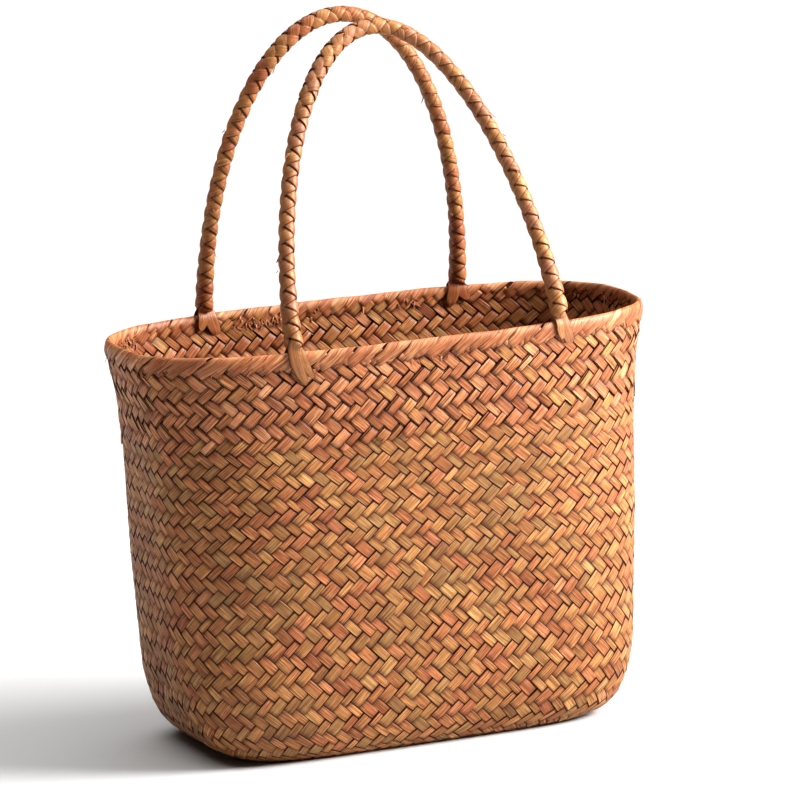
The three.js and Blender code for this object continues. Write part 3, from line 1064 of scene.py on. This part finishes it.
def add_rim_frays(batch, path_form, rng, settings):
    """Cut ends that stand out under the turned rim, mostly on the inside."""
    clusters = rng.uniform(0, ROUND_CELLS, settings.fray_count // FRAYS_PER_CLUSTER)
    for _ in range(settings.fray_count):
        inside = rng.random() < FRAYS_INSIDE
        cell = rng.choice(clusters) + rng.normal(0.0, 0.45)
        path = rng.uniform(3.0, 9.5) if inside else -rng.uniform(7.5, 10.5)
        point, normal = path_form.at(np.array([cell]), np.array([path]), np.array([-0.15]))
        around = np.cross(np.array([0.0, 0.0, 1.0]), normal[0])
        angle = rng.uniform(-2.6, -0.5)
        way = unit(math.cos(angle) * around + math.sin(angle) * np.array([0.0, 0.0, 1.0]))
        length = rng.uniform(1.8, 5.0)
        width = rng.uniform(0.6, 1.6)
        add_sliver(batch, rng, point[0], way, normal[0], length, width, rng.uniform(0.1, 1.2))


# The plaited handles

# The handles, with lengths in millimetres. span is from seat to seat, and a larger arch makes fuller
# shoulders. redder shifts the straw's hue and tone is its brightness. leg_painted_shade is painted
# shade: how much brighter the second foot is than the first, so that the first leg, away from the
# light on the right, looks shaded. feet holds what Foot reads for each end. TOP_RADIUS is from the top
# of a handle down to its middle line.
SEAT_HEIGHT = 227.5
TOP_RADIUS = 4.5
HANDLES = (
    {
        "node": "handle_front",
        "front": True,
        "middle_x": 2.5,
        "span": 154.0,
        "top_y": -6.0,
        "top_z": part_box("handle_front")[1].z / MM - TOP_RADIUS,
        "arch": 1.7,
        "redder": -0.27,
        "tone": 0.32,
        "leg_painted_shade": 0.50,
        "feet": (
            (
                ((-1.2, 4.6, 17.8, 3.3, -0.7), (2.6, 8.6, 14.5, 2.5, -0.6)),
                ((-2.4, -5.0, 11.0, 2.6, -1.4), (2.4, 4.5, 13.0, 2.6, -1.4)),
            ),
            (
                ((-2.2, -1.0, 9.5, 2.3, 1.2), (0.8, 5.4, 14.0, 3.4, -0.8)),
                ((-2.4, -5.0, 11.0, 2.6, -1.4), (2.4, 4.5, 13.0, 2.6, -1.4)),
            ),
        ),
    },
    {
        "node": "handle_back",
        "front": False,
        "middle_x": 2.5,
        "span": 151.0,
        "top_y": 41.5,
        "top_z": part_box("handle_back")[1].z / MM - TOP_RADIUS,
        "arch": 2.1,
        "redder": 0.06,
        "tone": 0.35,
        "leg_painted_shade": 0.04,
        "feet": (
            (
                ((-2.4, -6.0, 14.0, 2.8, -1.2), (2.2, 3.5, 16.0, 2.8, -1.2)),
                ((-3.0, -4.4, 8.5, 3.0, -0.4), (1.6, 6.4, 13.5, 4.0, -1.2)),
            ),
            (
                ((-2.4, -5.0, 14.0, 2.8, -1.2), (2.2, 5.5, 16.0, 2.8, -1.2)),
                ((-2.4, -5.4, 11.5, 3.5, 0.2), (2.0, 5.0, 8.0, 3.5, 0.9)),
            ),
        ),
    },
)

# A strand's section, as for the strips, with a rounder face and its own painted edge shade. BRAID_MIDDLE is
# a point beside its middle
# line, and the first BRAID_FACE points go over its outer face from edge to edge.
BRAID_ACROSS = np.array([-1.0, -0.88, -0.6, -0.2, 0.2, 0.6, 0.88, 1.0, 0.85, 0.4, -0.4, -0.85])
BRAID_CROWN = np.array([0.0, 0.58, 0.88, 1.0, 1.0, 0.88, 0.58, 0.0, -0.5, -0.6, -0.6, -0.5])
BRAID_PAINTED_EDGE_SHADE = np.array([0.9, 0.26, 0.05, 0.0, 0.0, 0.05, 0.26, 0.9, 0.5, 0.5, 0.5, 0.5])
BRAID_MIDDLE = 3
BRAID_FACE = 8
BRAID_STEPS = 6

# The braid twists by a quarter turn between these shares of its length
TWIST_START = 0.25
TWIST_END = 0.5

# Millimetres: how far the strands' middle is in from the braid's outside, how far they move out to pass
# over, their thickness and half width, and how much the braid swells towards its ends, over what length
STRAND_SINK = 0.98
STRAND_LIFT = 0.52
STRAND_THICK = 1.05
STRAND_HALF = 3.4
END_SWELL = 0.65
SWELL_LENGTH = 45.0

# A strand's half width in cells round the braid, and a row's height as a share of the straw it takes
STRAND_HALF_CELL = 0.49
ROW_SHARE = 0.56

# One edge of each strand stands proud of the next strand, by these millimetres. Over the top of the
# handle it changes to the other edge, from a share of the length and over a share of it.
PROUD_EDGE = 0.42
PROUD_CHANGE = 0.14
LOWER_CHANGES = 0.42
LOWER_CHANGE_SPAN = 0.16

# A parted end: the places of the rows that bend over to it, its number of rows, the millimetres of
# straw to a row, how far from the crest's top it starts and the height of its face. FAR_OFF is more
# than any distance on the bag.
BRIDGE_SHARES = (0.25, 0.5, 0.75)
TAIL_ROWS = 13
TAIL_STEP = 1.6
TAIL_TOP = 1.2
TAIL_THICK = 0.34
FAR_OFF = 1e9


class HandleLine:
    """A handle's middle line, with the directions round it."""

    STEPS = 800

    def __init__(self, form, spec):
        self.spec = spec
        turn = math.pi * (1 - np.linspace(0.0, 1.0, self.STEPS + 1))
        rise = np.maximum(np.sin(turn), 0.0) ** (2 / spec["arch"])
        seats = self.seats(form, spec)
        self.places = seats
        middle = (seats[0][:2] + seats[1][:2]) / 2
        half = (seats[1][0] - seats[0][0]) / 2
        line = np.zeros((self.STEPS + 1, 3))
        line[:, 0] = middle[0] + half * np.cos(turn)
        line[:, 1] = lerp(middle[1], spec["top_y"], rise)
        line[:, 2] = lerp(SEAT_HEIGHT, spec["top_z"], rise)
        travel = np.concatenate([[0.0], np.cumsum(np.linalg.norm(np.diff(line, axis=0), axis=1))])
        self.length = travel[-1]
        even = np.linspace(0.0, self.length, self.STEPS + 1)
        self.line = np.stack([np.interp(even, travel, line[:, k]) for k in range(3)], axis=-1)
        self.tangent = unit(np.gradient(self.line, axis=0))
        forward = np.zeros_like(self.line)
        forward[:, 1] = -1.0
        forward -= np.sum(forward * self.tangent, axis=1, keepdims=True) * self.tangent
        self.front = unit(forward)
        self.side = np.cross(self.tangent, self.front)

    def seats(self, form, spec):
        """The two places on the rim, in millimetres, in the middle of the wall's thickness."""
        places = []
        cells = np.linspace(0, ROUND_CELLS, ROUND_CELLS * 8, endpoint=False)
        ring, normals = form.look_up(cells, np.full(len(cells), float(WALL_ROWS)))
        ring = (ring - WALL_MIDDLE * MM * normals) / MM
        facing = normals[:, 1] < 0 if spec["front"] else normals[:, 1] > 0
        ring = ring[facing]
        ring = ring[np.argsort(ring[:, 0])]
        for x in (spec["middle_x"] - spec["span"] / 2, spec["middle_x"] + spec["span"] / 2):
            places.append(np.array([x, np.interp(x, ring[:, 0], ring[:, 1]), SEAT_HEIGHT]))
        return places

    def at(self, travel, turn, radius):
        """Points and outward normals on the braid. travel and radius are in millimetres."""
        place = np.clip(travel / self.length, 0.0, 1.0) * self.STEPS
        index = np.minimum(np.floor(place).astype(int), self.STEPS - 1)
        share = (place - index)[..., None]
        centre = self.line[index] * (1 - share) + self.line[index + 1] * share
        front = self.front[index] * (1 - share) + self.front[index + 1] * share
        side = self.side[index] * (1 - share) + self.side[index + 1] * share
        normal = unit(np.cos(turn)[..., None] * front + np.sin(turn)[..., None] * side)
        return (centre + radius[..., None] * normal) * MM, normal


def braid_level(place):
    """How far out a strand lies, from minus one to one, where it is out at even crossings."""
    wave = np.cos(math.pi * place)
    return np.sign(wave) * np.abs(wave) ** 0.7


def add_strand(batch, line, feet, rng, climbs, number, settings):
    """One of the four strands of a round braid, with its parted ends over the rim."""
    row_height = settings.braid_turn / MM / 4
    rows = line.length / row_height
    steps = int((rows - 1.1) * BRAID_STEPS)
    row = 0.55 + np.arange(steps + 1) / BRAID_STEPS
    radius = settings.braid_diameter / MM / 2 - STRAND_SINK
    wobble = 0.03 * np.sin(row * rng.uniform(0.2, 0.5) + rng.uniform(0, PHASE_TOP))
    offsets = STRAND_HALF_CELL * BRAID_ACROSS[None, :] + wobble[:, None]
    if climbs:
        cell = number + offsets + (row[:, None] - offsets) / 2
        rows_here = row[:, None] - offsets
        parity = row
    else:
        cell = number + offsets - (row[:, None] + offsets) / 2
        rows_here = row[:, None] + offsets
        parity = row + 1
    travel = rows_here * row_height
    share = travel / line.length
    twist = (math.pi / 2) * ease((share - TWIST_START) / (TWIST_END - TWIST_START))
    turn = math.pi * (cell - 0.25) + twist
    level = braid_level(parity)
    lift = STRAND_LIFT * level[:, None] * np.ones_like(travel)
    end_distance = np.minimum(travel, line.length - travel)
    lift = lift + END_SWELL * (1 - ease(end_distance / SWELL_LENGTH))
    leg = 1 - 2 * ease((share - LOWER_CHANGES) / LOWER_CHANGE_SPAN)
    proud = PROUD_EDGE + PROUD_CHANGE * np.sin(row * 1.9 + rng.uniform(0, PHASE_TOP))
    lift = lift + proud[:, None] * leg * (BRAID_ACROSS if climbs else -BRAID_ACROSS)
    ring, normals = line.at(travel, turn, radius + lift + BRAID_CROWN * STRAND_THICK / 2)
    outward = normals[:, BRAID_MIDDLE]
    along = row * row_height / ROW_SHARE
    first_tail = feet[0].tail(ring[0, BRAID_MIDDLE], rng)
    last_tail = feet[1].tail(ring[-1, BRAID_MIDDLE], rng)
    ring, outward = bridge(first_tail, (ring, outward), True)
    front_rows = len(ring) - len(row)
    ring, outward = bridge(last_tail, (ring, outward), False)
    back_rows = len(ring) - len(row) - front_rows
    along = np.concatenate(
        [
            along[0] + TAIL_STEP * np.arange(-front_rows, 0),
            along,
            along[-1] + TAIL_STEP * np.arange(1, back_rows + 1),
        ]
    )
    all_rows = np.concatenate([np.full(front_rows, row[0]), row, np.full(back_rows, row[-1])])
    all_level = np.concatenate([np.ones(front_rows), level, np.ones(back_rows)])
    across = np.broadcast_to(STRAND_HALF * BRAID_ACROSS, ring.shape[:2])
    tint = np.zeros(ring.shape[:2] + (4,))
    deep = np.clip(-all_level, 0.0, 1.0)
    stretch = np.floor(all_rows[:, None] / 2 + 0.25)
    tint[..., 0] = np.clip(rng.normal(line.spec["tone"], 0.08), 0, 1)
    tint[..., 0] += 0.12 * np.sin(stretch * 2.7 + number * 1.9)
    # Painted shade: the first leg, away from the light on the right, is made darker and the second lighter
    travelled = (all_rows / row[-1])[:, None]
    tint[..., 0] += line.spec["leg_painted_shade"] * (travelled - 0.5)
    hue = settings.strand_hue + line.spec["redder"]
    tint[..., 1] = hue + 0.12 * np.sin(stretch * 1.7 + number)
    # Painted shade: dark at the strand's edges and darker where it passes under the next strand
    tint[..., 2] = np.clip(BRAID_PAINTED_EDGE_SHADE + 0.35 * deep[:, None], 0, 1)
    tint[..., 3] = 0.25
    batch.add(ring, outward, across, along, rng.uniform(0, FIBRE_SEEDS), tint)


def add_braid_ends(batch, line, rng, settings):
    """Cut ends of straw that stand out of a braid."""
    radius = settings.braid_diameter / MM / 2 + 0.1
    for _ in range(settings.end_count):
        travel = rng.uniform(0.08, 0.92) * line.length
        turn = rng.uniform(0, 2 * math.pi)
        point, normal = line.at(np.array([travel]), np.array([turn]), np.array([radius]))
        tangent = line.tangent[int(travel / line.length * line.STEPS)]
        downward = tangent if travel > line.length / 2 else -tangent
        way = unit(downward + rng.uniform(-0.8, 0.8) * np.cross(normal[0], tangent))
        length = rng.uniform(1.8, 4.2)
        width = rng.uniform(0.7, 1.7)
        add_sliver(batch, rng, point[0], way, normal[0], length, width, rng.uniform(0.6, 1.6))


def bridge(tail, braid, at_start):
    """Joins a parted end to the braid's first or last row with a few rows bent from one to the other."""
    if at_start:
        braid = (braid[0][::-1], braid[1][::-1])
    facings = []
    for (ring, outward), first, second in ((tail, 0, 1), (braid, -2, -1)):
        side = ring[first, BRAID_MIDDLE + 1] - ring[first, BRAID_MIDDLE]
        forward = ring[second, BRAID_MIDDLE] - ring[first, BRAID_MIDDLE]
        facings.append(np.dot(np.cross(side, forward), outward[first]))
    end, end_outward = tail
    if facings[0] * facings[1] < 0:
        # The tail's section is turned to run the same way as the braid's
        last = BRAID_FACE - 1
        end = np.concatenate([end[:, last::-1], end[:, :last:-1]], axis=1)
    body, outward = braid
    leave = (body[-1] - body[-2]) * 7
    arrive = (end[1] - end[0]) * 2
    rows = []
    turns = []
    for share in BRIDGE_SHARES:
        from_braid = (1 + 2 * share) * (1 - share) ** 2 * body[-1] + share * (1 - share) ** 2 * leave
        to_tail = share * share * (3 - 2 * share) * end[0] + share * share * (share - 1) * arrive
        rows.append(from_braid + to_tail)
        turns.append(unit(lerp(outward[-1], end_outward[0], share)))
    ring = np.concatenate([body, np.array(rows), end])
    outward = np.concatenate([outward, np.array(turns), end_outward])
    if at_start:
        return ring[::-1], outward[::-1]
    return ring, outward


class Foot:
    """One end of a handle, where the strands part over the rim.

    tails has the pair outside the rim and then the pair inside it, and in each pair first the tail
    towards -X and then the one towards +X. A tail is its place along the rim at the crest and at the
    tip, its reach down the wall, its half width and how far its tip stands out, all in millimetres.
    """

    def __init__(self, path_form, seat, front, tails):
        self.path_form = path_form
        form = path_form.form
        cells = np.linspace(0, ROUND_CELLS, ROUND_CELLS * 8, endpoint=False)
        ring, _ = form.look_up(cells, np.full(len(cells), float(WALL_ROWS)))
        facing = ring[:, 1] < 0 if front else ring[:, 1] > 0
        gap = np.where(facing, np.abs(ring[:, 0] / MM - seat[0]), FAR_OFF)
        self.cell = cells[np.argmin(gap)]
        point, normal = form.look_up(np.array([self.cell]), np.array([float(WALL_ROWS)]))
        self.centre = point[0] - WALL_MIDDLE * MM * normal[0]
        self.normal = normal[0]
        self.way = 1.0 if front else -1.0
        self.tails = tails
        self.free = {True: [0, 1], False: [0, 1]}

    def tail(self, strand_end, rng):
        """Rows of points down one face of the rim for the strand that ends at this place."""
        off = strand_end - self.centre
        outside = float(np.dot(off, self.normal)) > 0
        if not self.free[outside]:
            outside = not outside
        wanted = 1 if off[0] > 0 else 0
        slot = wanted if wanted in self.free[outside] else self.free[outside][0]
        self.free[outside].remove(slot)
        first, last, reach, half, stand = self.tails[0 if outside else 1][slot]
        share = np.linspace(0.0, 1.0, TAIL_ROWS)
        down = TAIL_TOP + share * (reach - TAIL_TOP)
        rest = np.interp(down, [0, 3.0, 8.5, 10.5, reach - 3.0, reach], [2.2, 1.5, 1.3, 0.75, 0.45, stand])
        rest = rest - 0.25 * slot
        width = half * np.interp(share, [0.0, 0.3, 0.65, 0.9, 1.0], [1.0, 1.12, 0.95, 0.55, 0.25])
        cell_mm = self.path_form.form.cell_width_top / MM
        centre = self.cell + self.way * lerp(first, last, share**1.2) / cell_mm
        cells = centre[:, None] + width[:, None] * BRAID_ACROSS / cell_mm
        paths = (-1.0 if outside else 1.0) * down[:, None] * np.ones_like(cells)
        lift = rest[:, None] + rng.normal(0, 0.12) * BRAID_ACROSS
        ring, normals = self.path_form.at(cells, paths, lift + BRAID_CROWN * TAIL_THICK)
        return ring, normals[:, BRAID_MIDDLE]


# The user's settings


class BasketColours(bpy.types.PropertyGroup):
    """Colours of the straw."""

    olive: FloatVectorProperty(
        name="Olive", description="Straw cut green", default=(0.350, 0.188, 0.068), subtype="COLOR", size=3,
        min=0.0, max=1.0,
    )
    tan: FloatVectorProperty(
        name="Tan", description="Pale straw of the handles", default=(0.44, 0.192, 0.100), subtype="COLOR",
        size=3, min=0.0, max=1.0,
    )
    golden: FloatVectorProperty(
        name="Golden", description="Clean dry straw", default=(0.48, 0.236, 0.076), subtype="COLOR", size=3,
        min=0.0, max=1.0,
    )
    warm: FloatVectorProperty(
        name="Warm", description="Ripe straw", default=(0.48, 0.205, 0.074), subtype="COLOR", size=3,
        min=0.0, max=1.0,
    )
    reddish: FloatVectorProperty(
        name="Reddish", description="Straw with a red skin", default=(0.41, 0.125, 0.048), subtype="COLOR",
        size=3, min=0.0, max=1.0,
    )
    blush: FloatVectorProperty(
        name="Blush", description="The straw's pale pink inner face", default=(0.57, 0.275, 0.125),
        subtype="COLOR", size=3, min=0.0, max=1.0,
    )
    ridge: FloatVectorProperty(
        name="Ridge", description="Dark ridges along some strips", default=(0.17, 0.036, 0.012),
        subtype="COLOR", size=3, min=0.0, max=1.0,
    )
    # Painted shade: the dark colour that stands for the shade in the gaps between the strips and where they
    # pass under one another, rather than browned straw
    edge: FloatVectorProperty(
        name="Edge", description="Browned edges of the strips", default=(0.075, 0.013, 0.004),
        subtype="COLOR", size=3, min=0.0, max=1.0,
    )


class WeaveSettings(bpy.types.PropertyGroup):
    """The plaited wall and floor."""

    strip_thickness: FloatProperty(
        name="Strip thickness", description="Thickness of a straw strip at its middle", default=0.95 * MM,
        min=0.3 * MM, max=3 * MM, unit="LENGTH",
    )
    weave_lift: FloatProperty(
        name="Weave lift", description="How far a strip moves out to pass over another", default=0.62 * MM,
        min=0.1 * MM, max=2 * MM, unit="LENGTH",
    )
    strip_gap: FloatProperty(
        name="Strip gap", description="Gap at each edge as a share of a cell", default=-0.04, min=-0.1,
        max=0.2,
    )
    uneven_width: FloatProperty(
        name="Uneven width", description="Spread of the strips' widths as a share of a cell", default=0.09,
        min=0.0, max=0.3, subtype="FACTOR",
    )
    paired_width: FloatProperty(
        name="Paired width", description="How much wider every other strip is, as a share of a cell",
        default=0.075, min=0.0, max=0.2, subtype="FACTOR",
    )
    seed: IntProperty(name="Seed", description="Changes the strips' chance differences", default=11, min=0)


class RimSettings(bpy.types.PropertyGroup):
    """The turned rim."""

    wrap_rise: FloatProperty(
        name="Wrap rise", description="Slope of the turned straw", default=math.radians(34.2),
        min=math.radians(15), max=math.radians(75), subtype="ANGLE",
    )
    rim_outside: FloatProperty(
        name="Outside depth", description="Straw length from the crest down the outside",
        default=8.8 * MM, min=4 * MM, max=20 * MM, unit="LENGTH",
    )
    rim_inside: FloatProperty(
        name="Inside depth", description="Straw length from the crest down the inside",
        default=6.0 * MM, min=4 * MM, max=20 * MM, unit="LENGTH",
    )
    fray_count: IntProperty(
        name="Frayed ends", description="Number of cut ends that stand out under the rim", default=380,
        min=0,
    )
    seed: IntProperty(name="Seed", description="Changes the wraps' chance differences", default=5, min=0)


class HandleSettings(bpy.types.PropertyGroup):
    """The plaited handles."""

    braid_diameter: FloatProperty(
        name="Braid diameter", description="Thickness of the round braid", default=9.0 * MM, min=4 * MM,
        max=20 * MM, unit="LENGTH",
    )
    braid_turn: FloatProperty(
        name="Turn length", description="Length in which a strand goes once round", default=17.0 * MM,
        min=8 * MM, max=40 * MM, unit="LENGTH",
    )
    strand_hue: FloatProperty(
        name="Strand hue", description="From tan at nought to blush at one", default=0.45, min=0.0,
        max=1.0, subtype="FACTOR",
    )
    end_count: IntProperty(
        name="Cut ends", description="Number of cut ends that stand out of each braid", default=16, min=0
    )
    seed: IntProperty(name="Seed", description="Changes the strands' chance differences", default=3, min=0)


class StageSettings(bpy.types.PropertyGroup):
    """The floor, the light and the view."""

    floor_colour: FloatVectorProperty(
        name="Floor colour", description="Colour of the pale floor", default=(0.60, 0.60, 0.60),
        subtype="COLOR", size=3, min=0.0, max=1.0,
    )
    key_strength: FloatProperty(
        name="Key light", description="Strength of the light from the right", default=4.4, min=0.0
    )
    top_strength: FloatProperty(
        name="Top light", description="Strength of the light from above", default=3.1, min=0.0
    )
    near_strength: FloatProperty(
        name="Near light", description="Power of the soft lamp near the bag's right", default=14.0,
        min=0.0, unit="POWER",
    )
    fill_strength: FloatProperty(
        name="Fill light", description="Strength of the light from all round", default=0.05, min=0.0
    )


# The operators


def read_form():
    """The bag's form, read from the CAD body."""
    return BagForm(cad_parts["woven_body"])


class BASKET_OT_weave(bpy.types.Operator):
    """Plait the wall and floor"""

    bl_idname = "basket.weave"
    bl_label = "Plaited body"

    def execute(self, context):
        settings = context.scene.basket_weave
        colours = context.scene.basket_colours
        form = read_form()
        plaiting = Plaiting(form, settings)
        finish = straw_finish("plaited_straw", colours, colours.olive, 0.5, 0.4)
        reach = plaiting.reach
        for rising, kind in ((True, "rising"), (False, "falling")):
            for part, numbers in ((1, range(-reach, 0)), (2, range(0, reach + 1))):
                batch = StripBatch()
                for number in numbers:
                    plaiting.strip(batch, rising, number)
                batch.finish(f"strips_{kind}_{part}", finish, "plaited_straw", ["woven_body"])
        return {"FINISHED"}


class BASKET_OT_rim(bpy.types.Operator):
    """Turn the straw over the rim"""

    bl_idname = "basket.rim"
    bl_label = "Turned rim"

    def execute(self, context):
        settings = context.scene.basket_rim
        colours = context.scene.basket_colours
        rng = np.random.default_rng(settings.seed)
        path_form = RimPath(read_form())
        batch = StripBatch()
        for index in range(ROUND_CELLS):
            add_rim_wrap(batch, path_form, rng, index, settings)
        add_rim_frays(batch, path_form, rng, settings)
        finish = straw_finish("folded_straw", colours, colours.olive, 0.48, 0.42)
        batch.finish("rim_wraps", finish, "folded_straw", ["rim_fold"])
        return {"FINISHED"}


class BASKET_OT_handles(bpy.types.Operator):
    """Braid the two handles"""

    bl_idname = "basket.handles"
    bl_label = "Plaited handles"

    def execute(self, context):
        settings = context.scene.basket_handles
        colours = context.scene.basket_colours
        form = read_form()
        path_form = RimPath(form)
        finish = straw_finish("braided_straw", colours, colours.tan, 0.44, 0.42, 0.62)
        for order, spec in enumerate(HANDLES):
            rng = np.random.default_rng(settings.seed + order)
            line = HandleLine(form, spec)
            feet = [
                Foot(path_form, seat, spec["front"], tails)
                for seat, tails in zip(line.places, spec["feet"])
            ]
            batch = StripBatch()
            for climbs in (True, False):
                for number in (0, 1):
                    add_strand(batch, line, feet, rng, climbs, number, settings)
            add_braid_ends(batch, line, rng, settings)
            batch.finish(spec["node"] + "_braid", finish, "braided_straw", [spec["node"]])
        return {"FINISHED"}


class BASKET_OT_stage(bpy.types.Operator):
    """Set the floor, the light and the camera"""

    bl_idname = "basket.stage"
    bl_label = "Stage"

    def execute(self, context):
        scene = context.scene
        settings = scene.basket_stage
        bm = bmesh.new()
        bmesh.ops.create_circle(bm, cap_ends=True, segments=96, radius=FLOOR_RADIUS)
        mesh = bpy.data.meshes.new("studio_floor")
        bm.to_mesh(mesh)
        bm.free()
        finish = Finish("pale_floor")
        place = finish.tree.nodes.new("ShaderNodeTexCoord").outputs["Object"]
        grain = finish.noise(place, 3.0, 2.0, 0.5)
        shade = tuple(0.985 * c for c in settings.floor_colour)
        colour = finish.mix(grain, tuple(settings.floor_colour), shade)
        finish.put(finish.shader.inputs["Base Color"], colour)
        finish.shader.inputs["Roughness"].default_value = 0.9
        finish.shader.inputs["Specular IOR Level"].default_value = 0.1
        mesh.materials.append(finish.material)
        floor = bpy.data.objects.new("studio_floor", mesh)
        scene.collection.objects.link(floor)

        world = bpy.data.worlds.new("studio_light")
        world.use_nodes = True
        background = world.node_tree.nodes["Background"]
        background.inputs["Color"].default_value = (1.0, 1.0, 1.0, 1.0)
        background.inputs["Strength"].default_value = settings.fill_strength
        scene.world = world

        # Each light's direction and distance from the bag, and its softness: the degrees that a sun
        # takes up in the sky, or the width of a lamp in metres
        aim = Vector(LIGHT_AIM)
        for name, kind, strength, towards, distance, softness in (
            ("key_light", "SUN", settings.key_strength, (0.94, -0.40, 0.64), 3.0, 28),
            ("top_light", "SUN", settings.top_strength, (0.0, 0.12, 1.0), 3.0, 70),
            ("near_light", "AREA", settings.near_strength, (0.84, -0.56, 0.50), 1.0, 0.5),
        ):
            lamp = bpy.data.lights.new(name, kind)
            lamp.energy = strength
            if kind == "SUN":
                lamp.angle = math.radians(softness)
            else:
                lamp.shape = "DISK"
                lamp.size = softness
            lamp_object = bpy.data.objects.new(name, lamp)
            direction = Vector(towards).normalized()
            lamp_object.rotation_mode = "QUATERNION"
            lamp_object.rotation_quaternion = direction.to_track_quat("Z", "Y")
            lamp_object.location = aim + direction * distance
            scene.collection.objects.link(lamp_object)

        turn = math.radians(CAMERA_TURN)
        rise = math.radians(CAMERA_RISE)
        roll = math.radians(CAMERA_ROLL)
        back = Vector((math.sin(turn) * math.cos(rise), -math.cos(turn) * math.cos(rise), math.sin(rise)))
        right = (-back).cross(Vector((0, 0, 1))).normalized()
        up = right.cross(-back)
        rolled_right = right * math.cos(roll) + up * math.sin(roll)
        rolled_up = up * math.cos(roll) - right * math.sin(roll)
        place = Vector((0, 0, CAMERA_AIM_HEIGHT)) + back * CAMERA_DISTANCE
        place += rolled_right * CAMERA_SHIFT_RIGHT + rolled_up * CAMERA_SHIFT_UP
        camera = bpy.data.cameras.new("camera")
        camera.sensor_width = SENSOR_WIDTH
        camera.sensor_fit = "HORIZONTAL"
        camera.lens = CAMERA_LENS
        camera.clip_start = 0.05
        camera.clip_end = 200.0
        camera_object = bpy.data.objects.new("camera", camera)
        axes = Matrix((rolled_right, rolled_up, back)).transposed()
        camera_object.matrix_world = Matrix.Translation(place * MM) @ axes.to_4x4()
        scene.collection.objects.link(camera_object)
        scene.camera = camera_object
        scene.view_settings.view_transform = "Standard"
        scene.view_settings.gamma = PHOTO_GAMMA
        return {"FINISHED"}


class BASKET_PT_panel(bpy.types.Panel):
    """The bag's settings and its making steps"""

    bl_label = "Basket bag"
    bl_space_type = "VIEW_3D"
    bl_region_type = "UI"
    bl_category = "Basket bag"

    def draw(self, context):
        layout = self.layout
        for group, operator in SECTIONS:
            box = layout.box()
            values = getattr(context.scene, group)
            for name in values.__annotations__:
                box.prop(values, name)
            if operator:
                box.operator(operator)


SECTIONS = (
    ("basket_colours", None),
    ("basket_weave", "basket.weave"),
    ("basket_rim", "basket.rim"),
    ("basket_handles", "basket.handles"),
    ("basket_stage", "basket.stage"),
)

GROUPS = {
    "basket_colours": BasketColours,
    "basket_weave": WeaveSettings,
    "basket_rim": RimSettings,
    "basket_handles": HandleSettings,
    "basket_stage": StageSettings,
}

CLASSES = (
    *GROUPS.values(),
    BASKET_OT_weave,
    BASKET_OT_rim,
    BASKET_OT_handles,
    BASKET_OT_stage,
    BASKET_PT_panel,
)


def register():
    """Makes the classes known and hangs the settings on the scene."""
    for one in CLASSES:
        bpy.utils.register_class(one)
    for name, group in GROUPS.items():
        setattr(bpy.types.Scene, name, PointerProperty(type=group))


def unregister():
    """Takes the settings and the classes away again."""
    for name in GROUPS:
        delattr(bpy.types.Scene, name)
    for one in reversed(CLASSES):
        bpy.utils.unregister_class(one)


def main():
    """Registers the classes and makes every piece."""
    register()
    bpy.ops.basket.stage()
    bpy.ops.basket.weave()
    bpy.ops.basket.rim()
    bpy.ops.basket.handles()


if __name__ == "__main__":
    main()
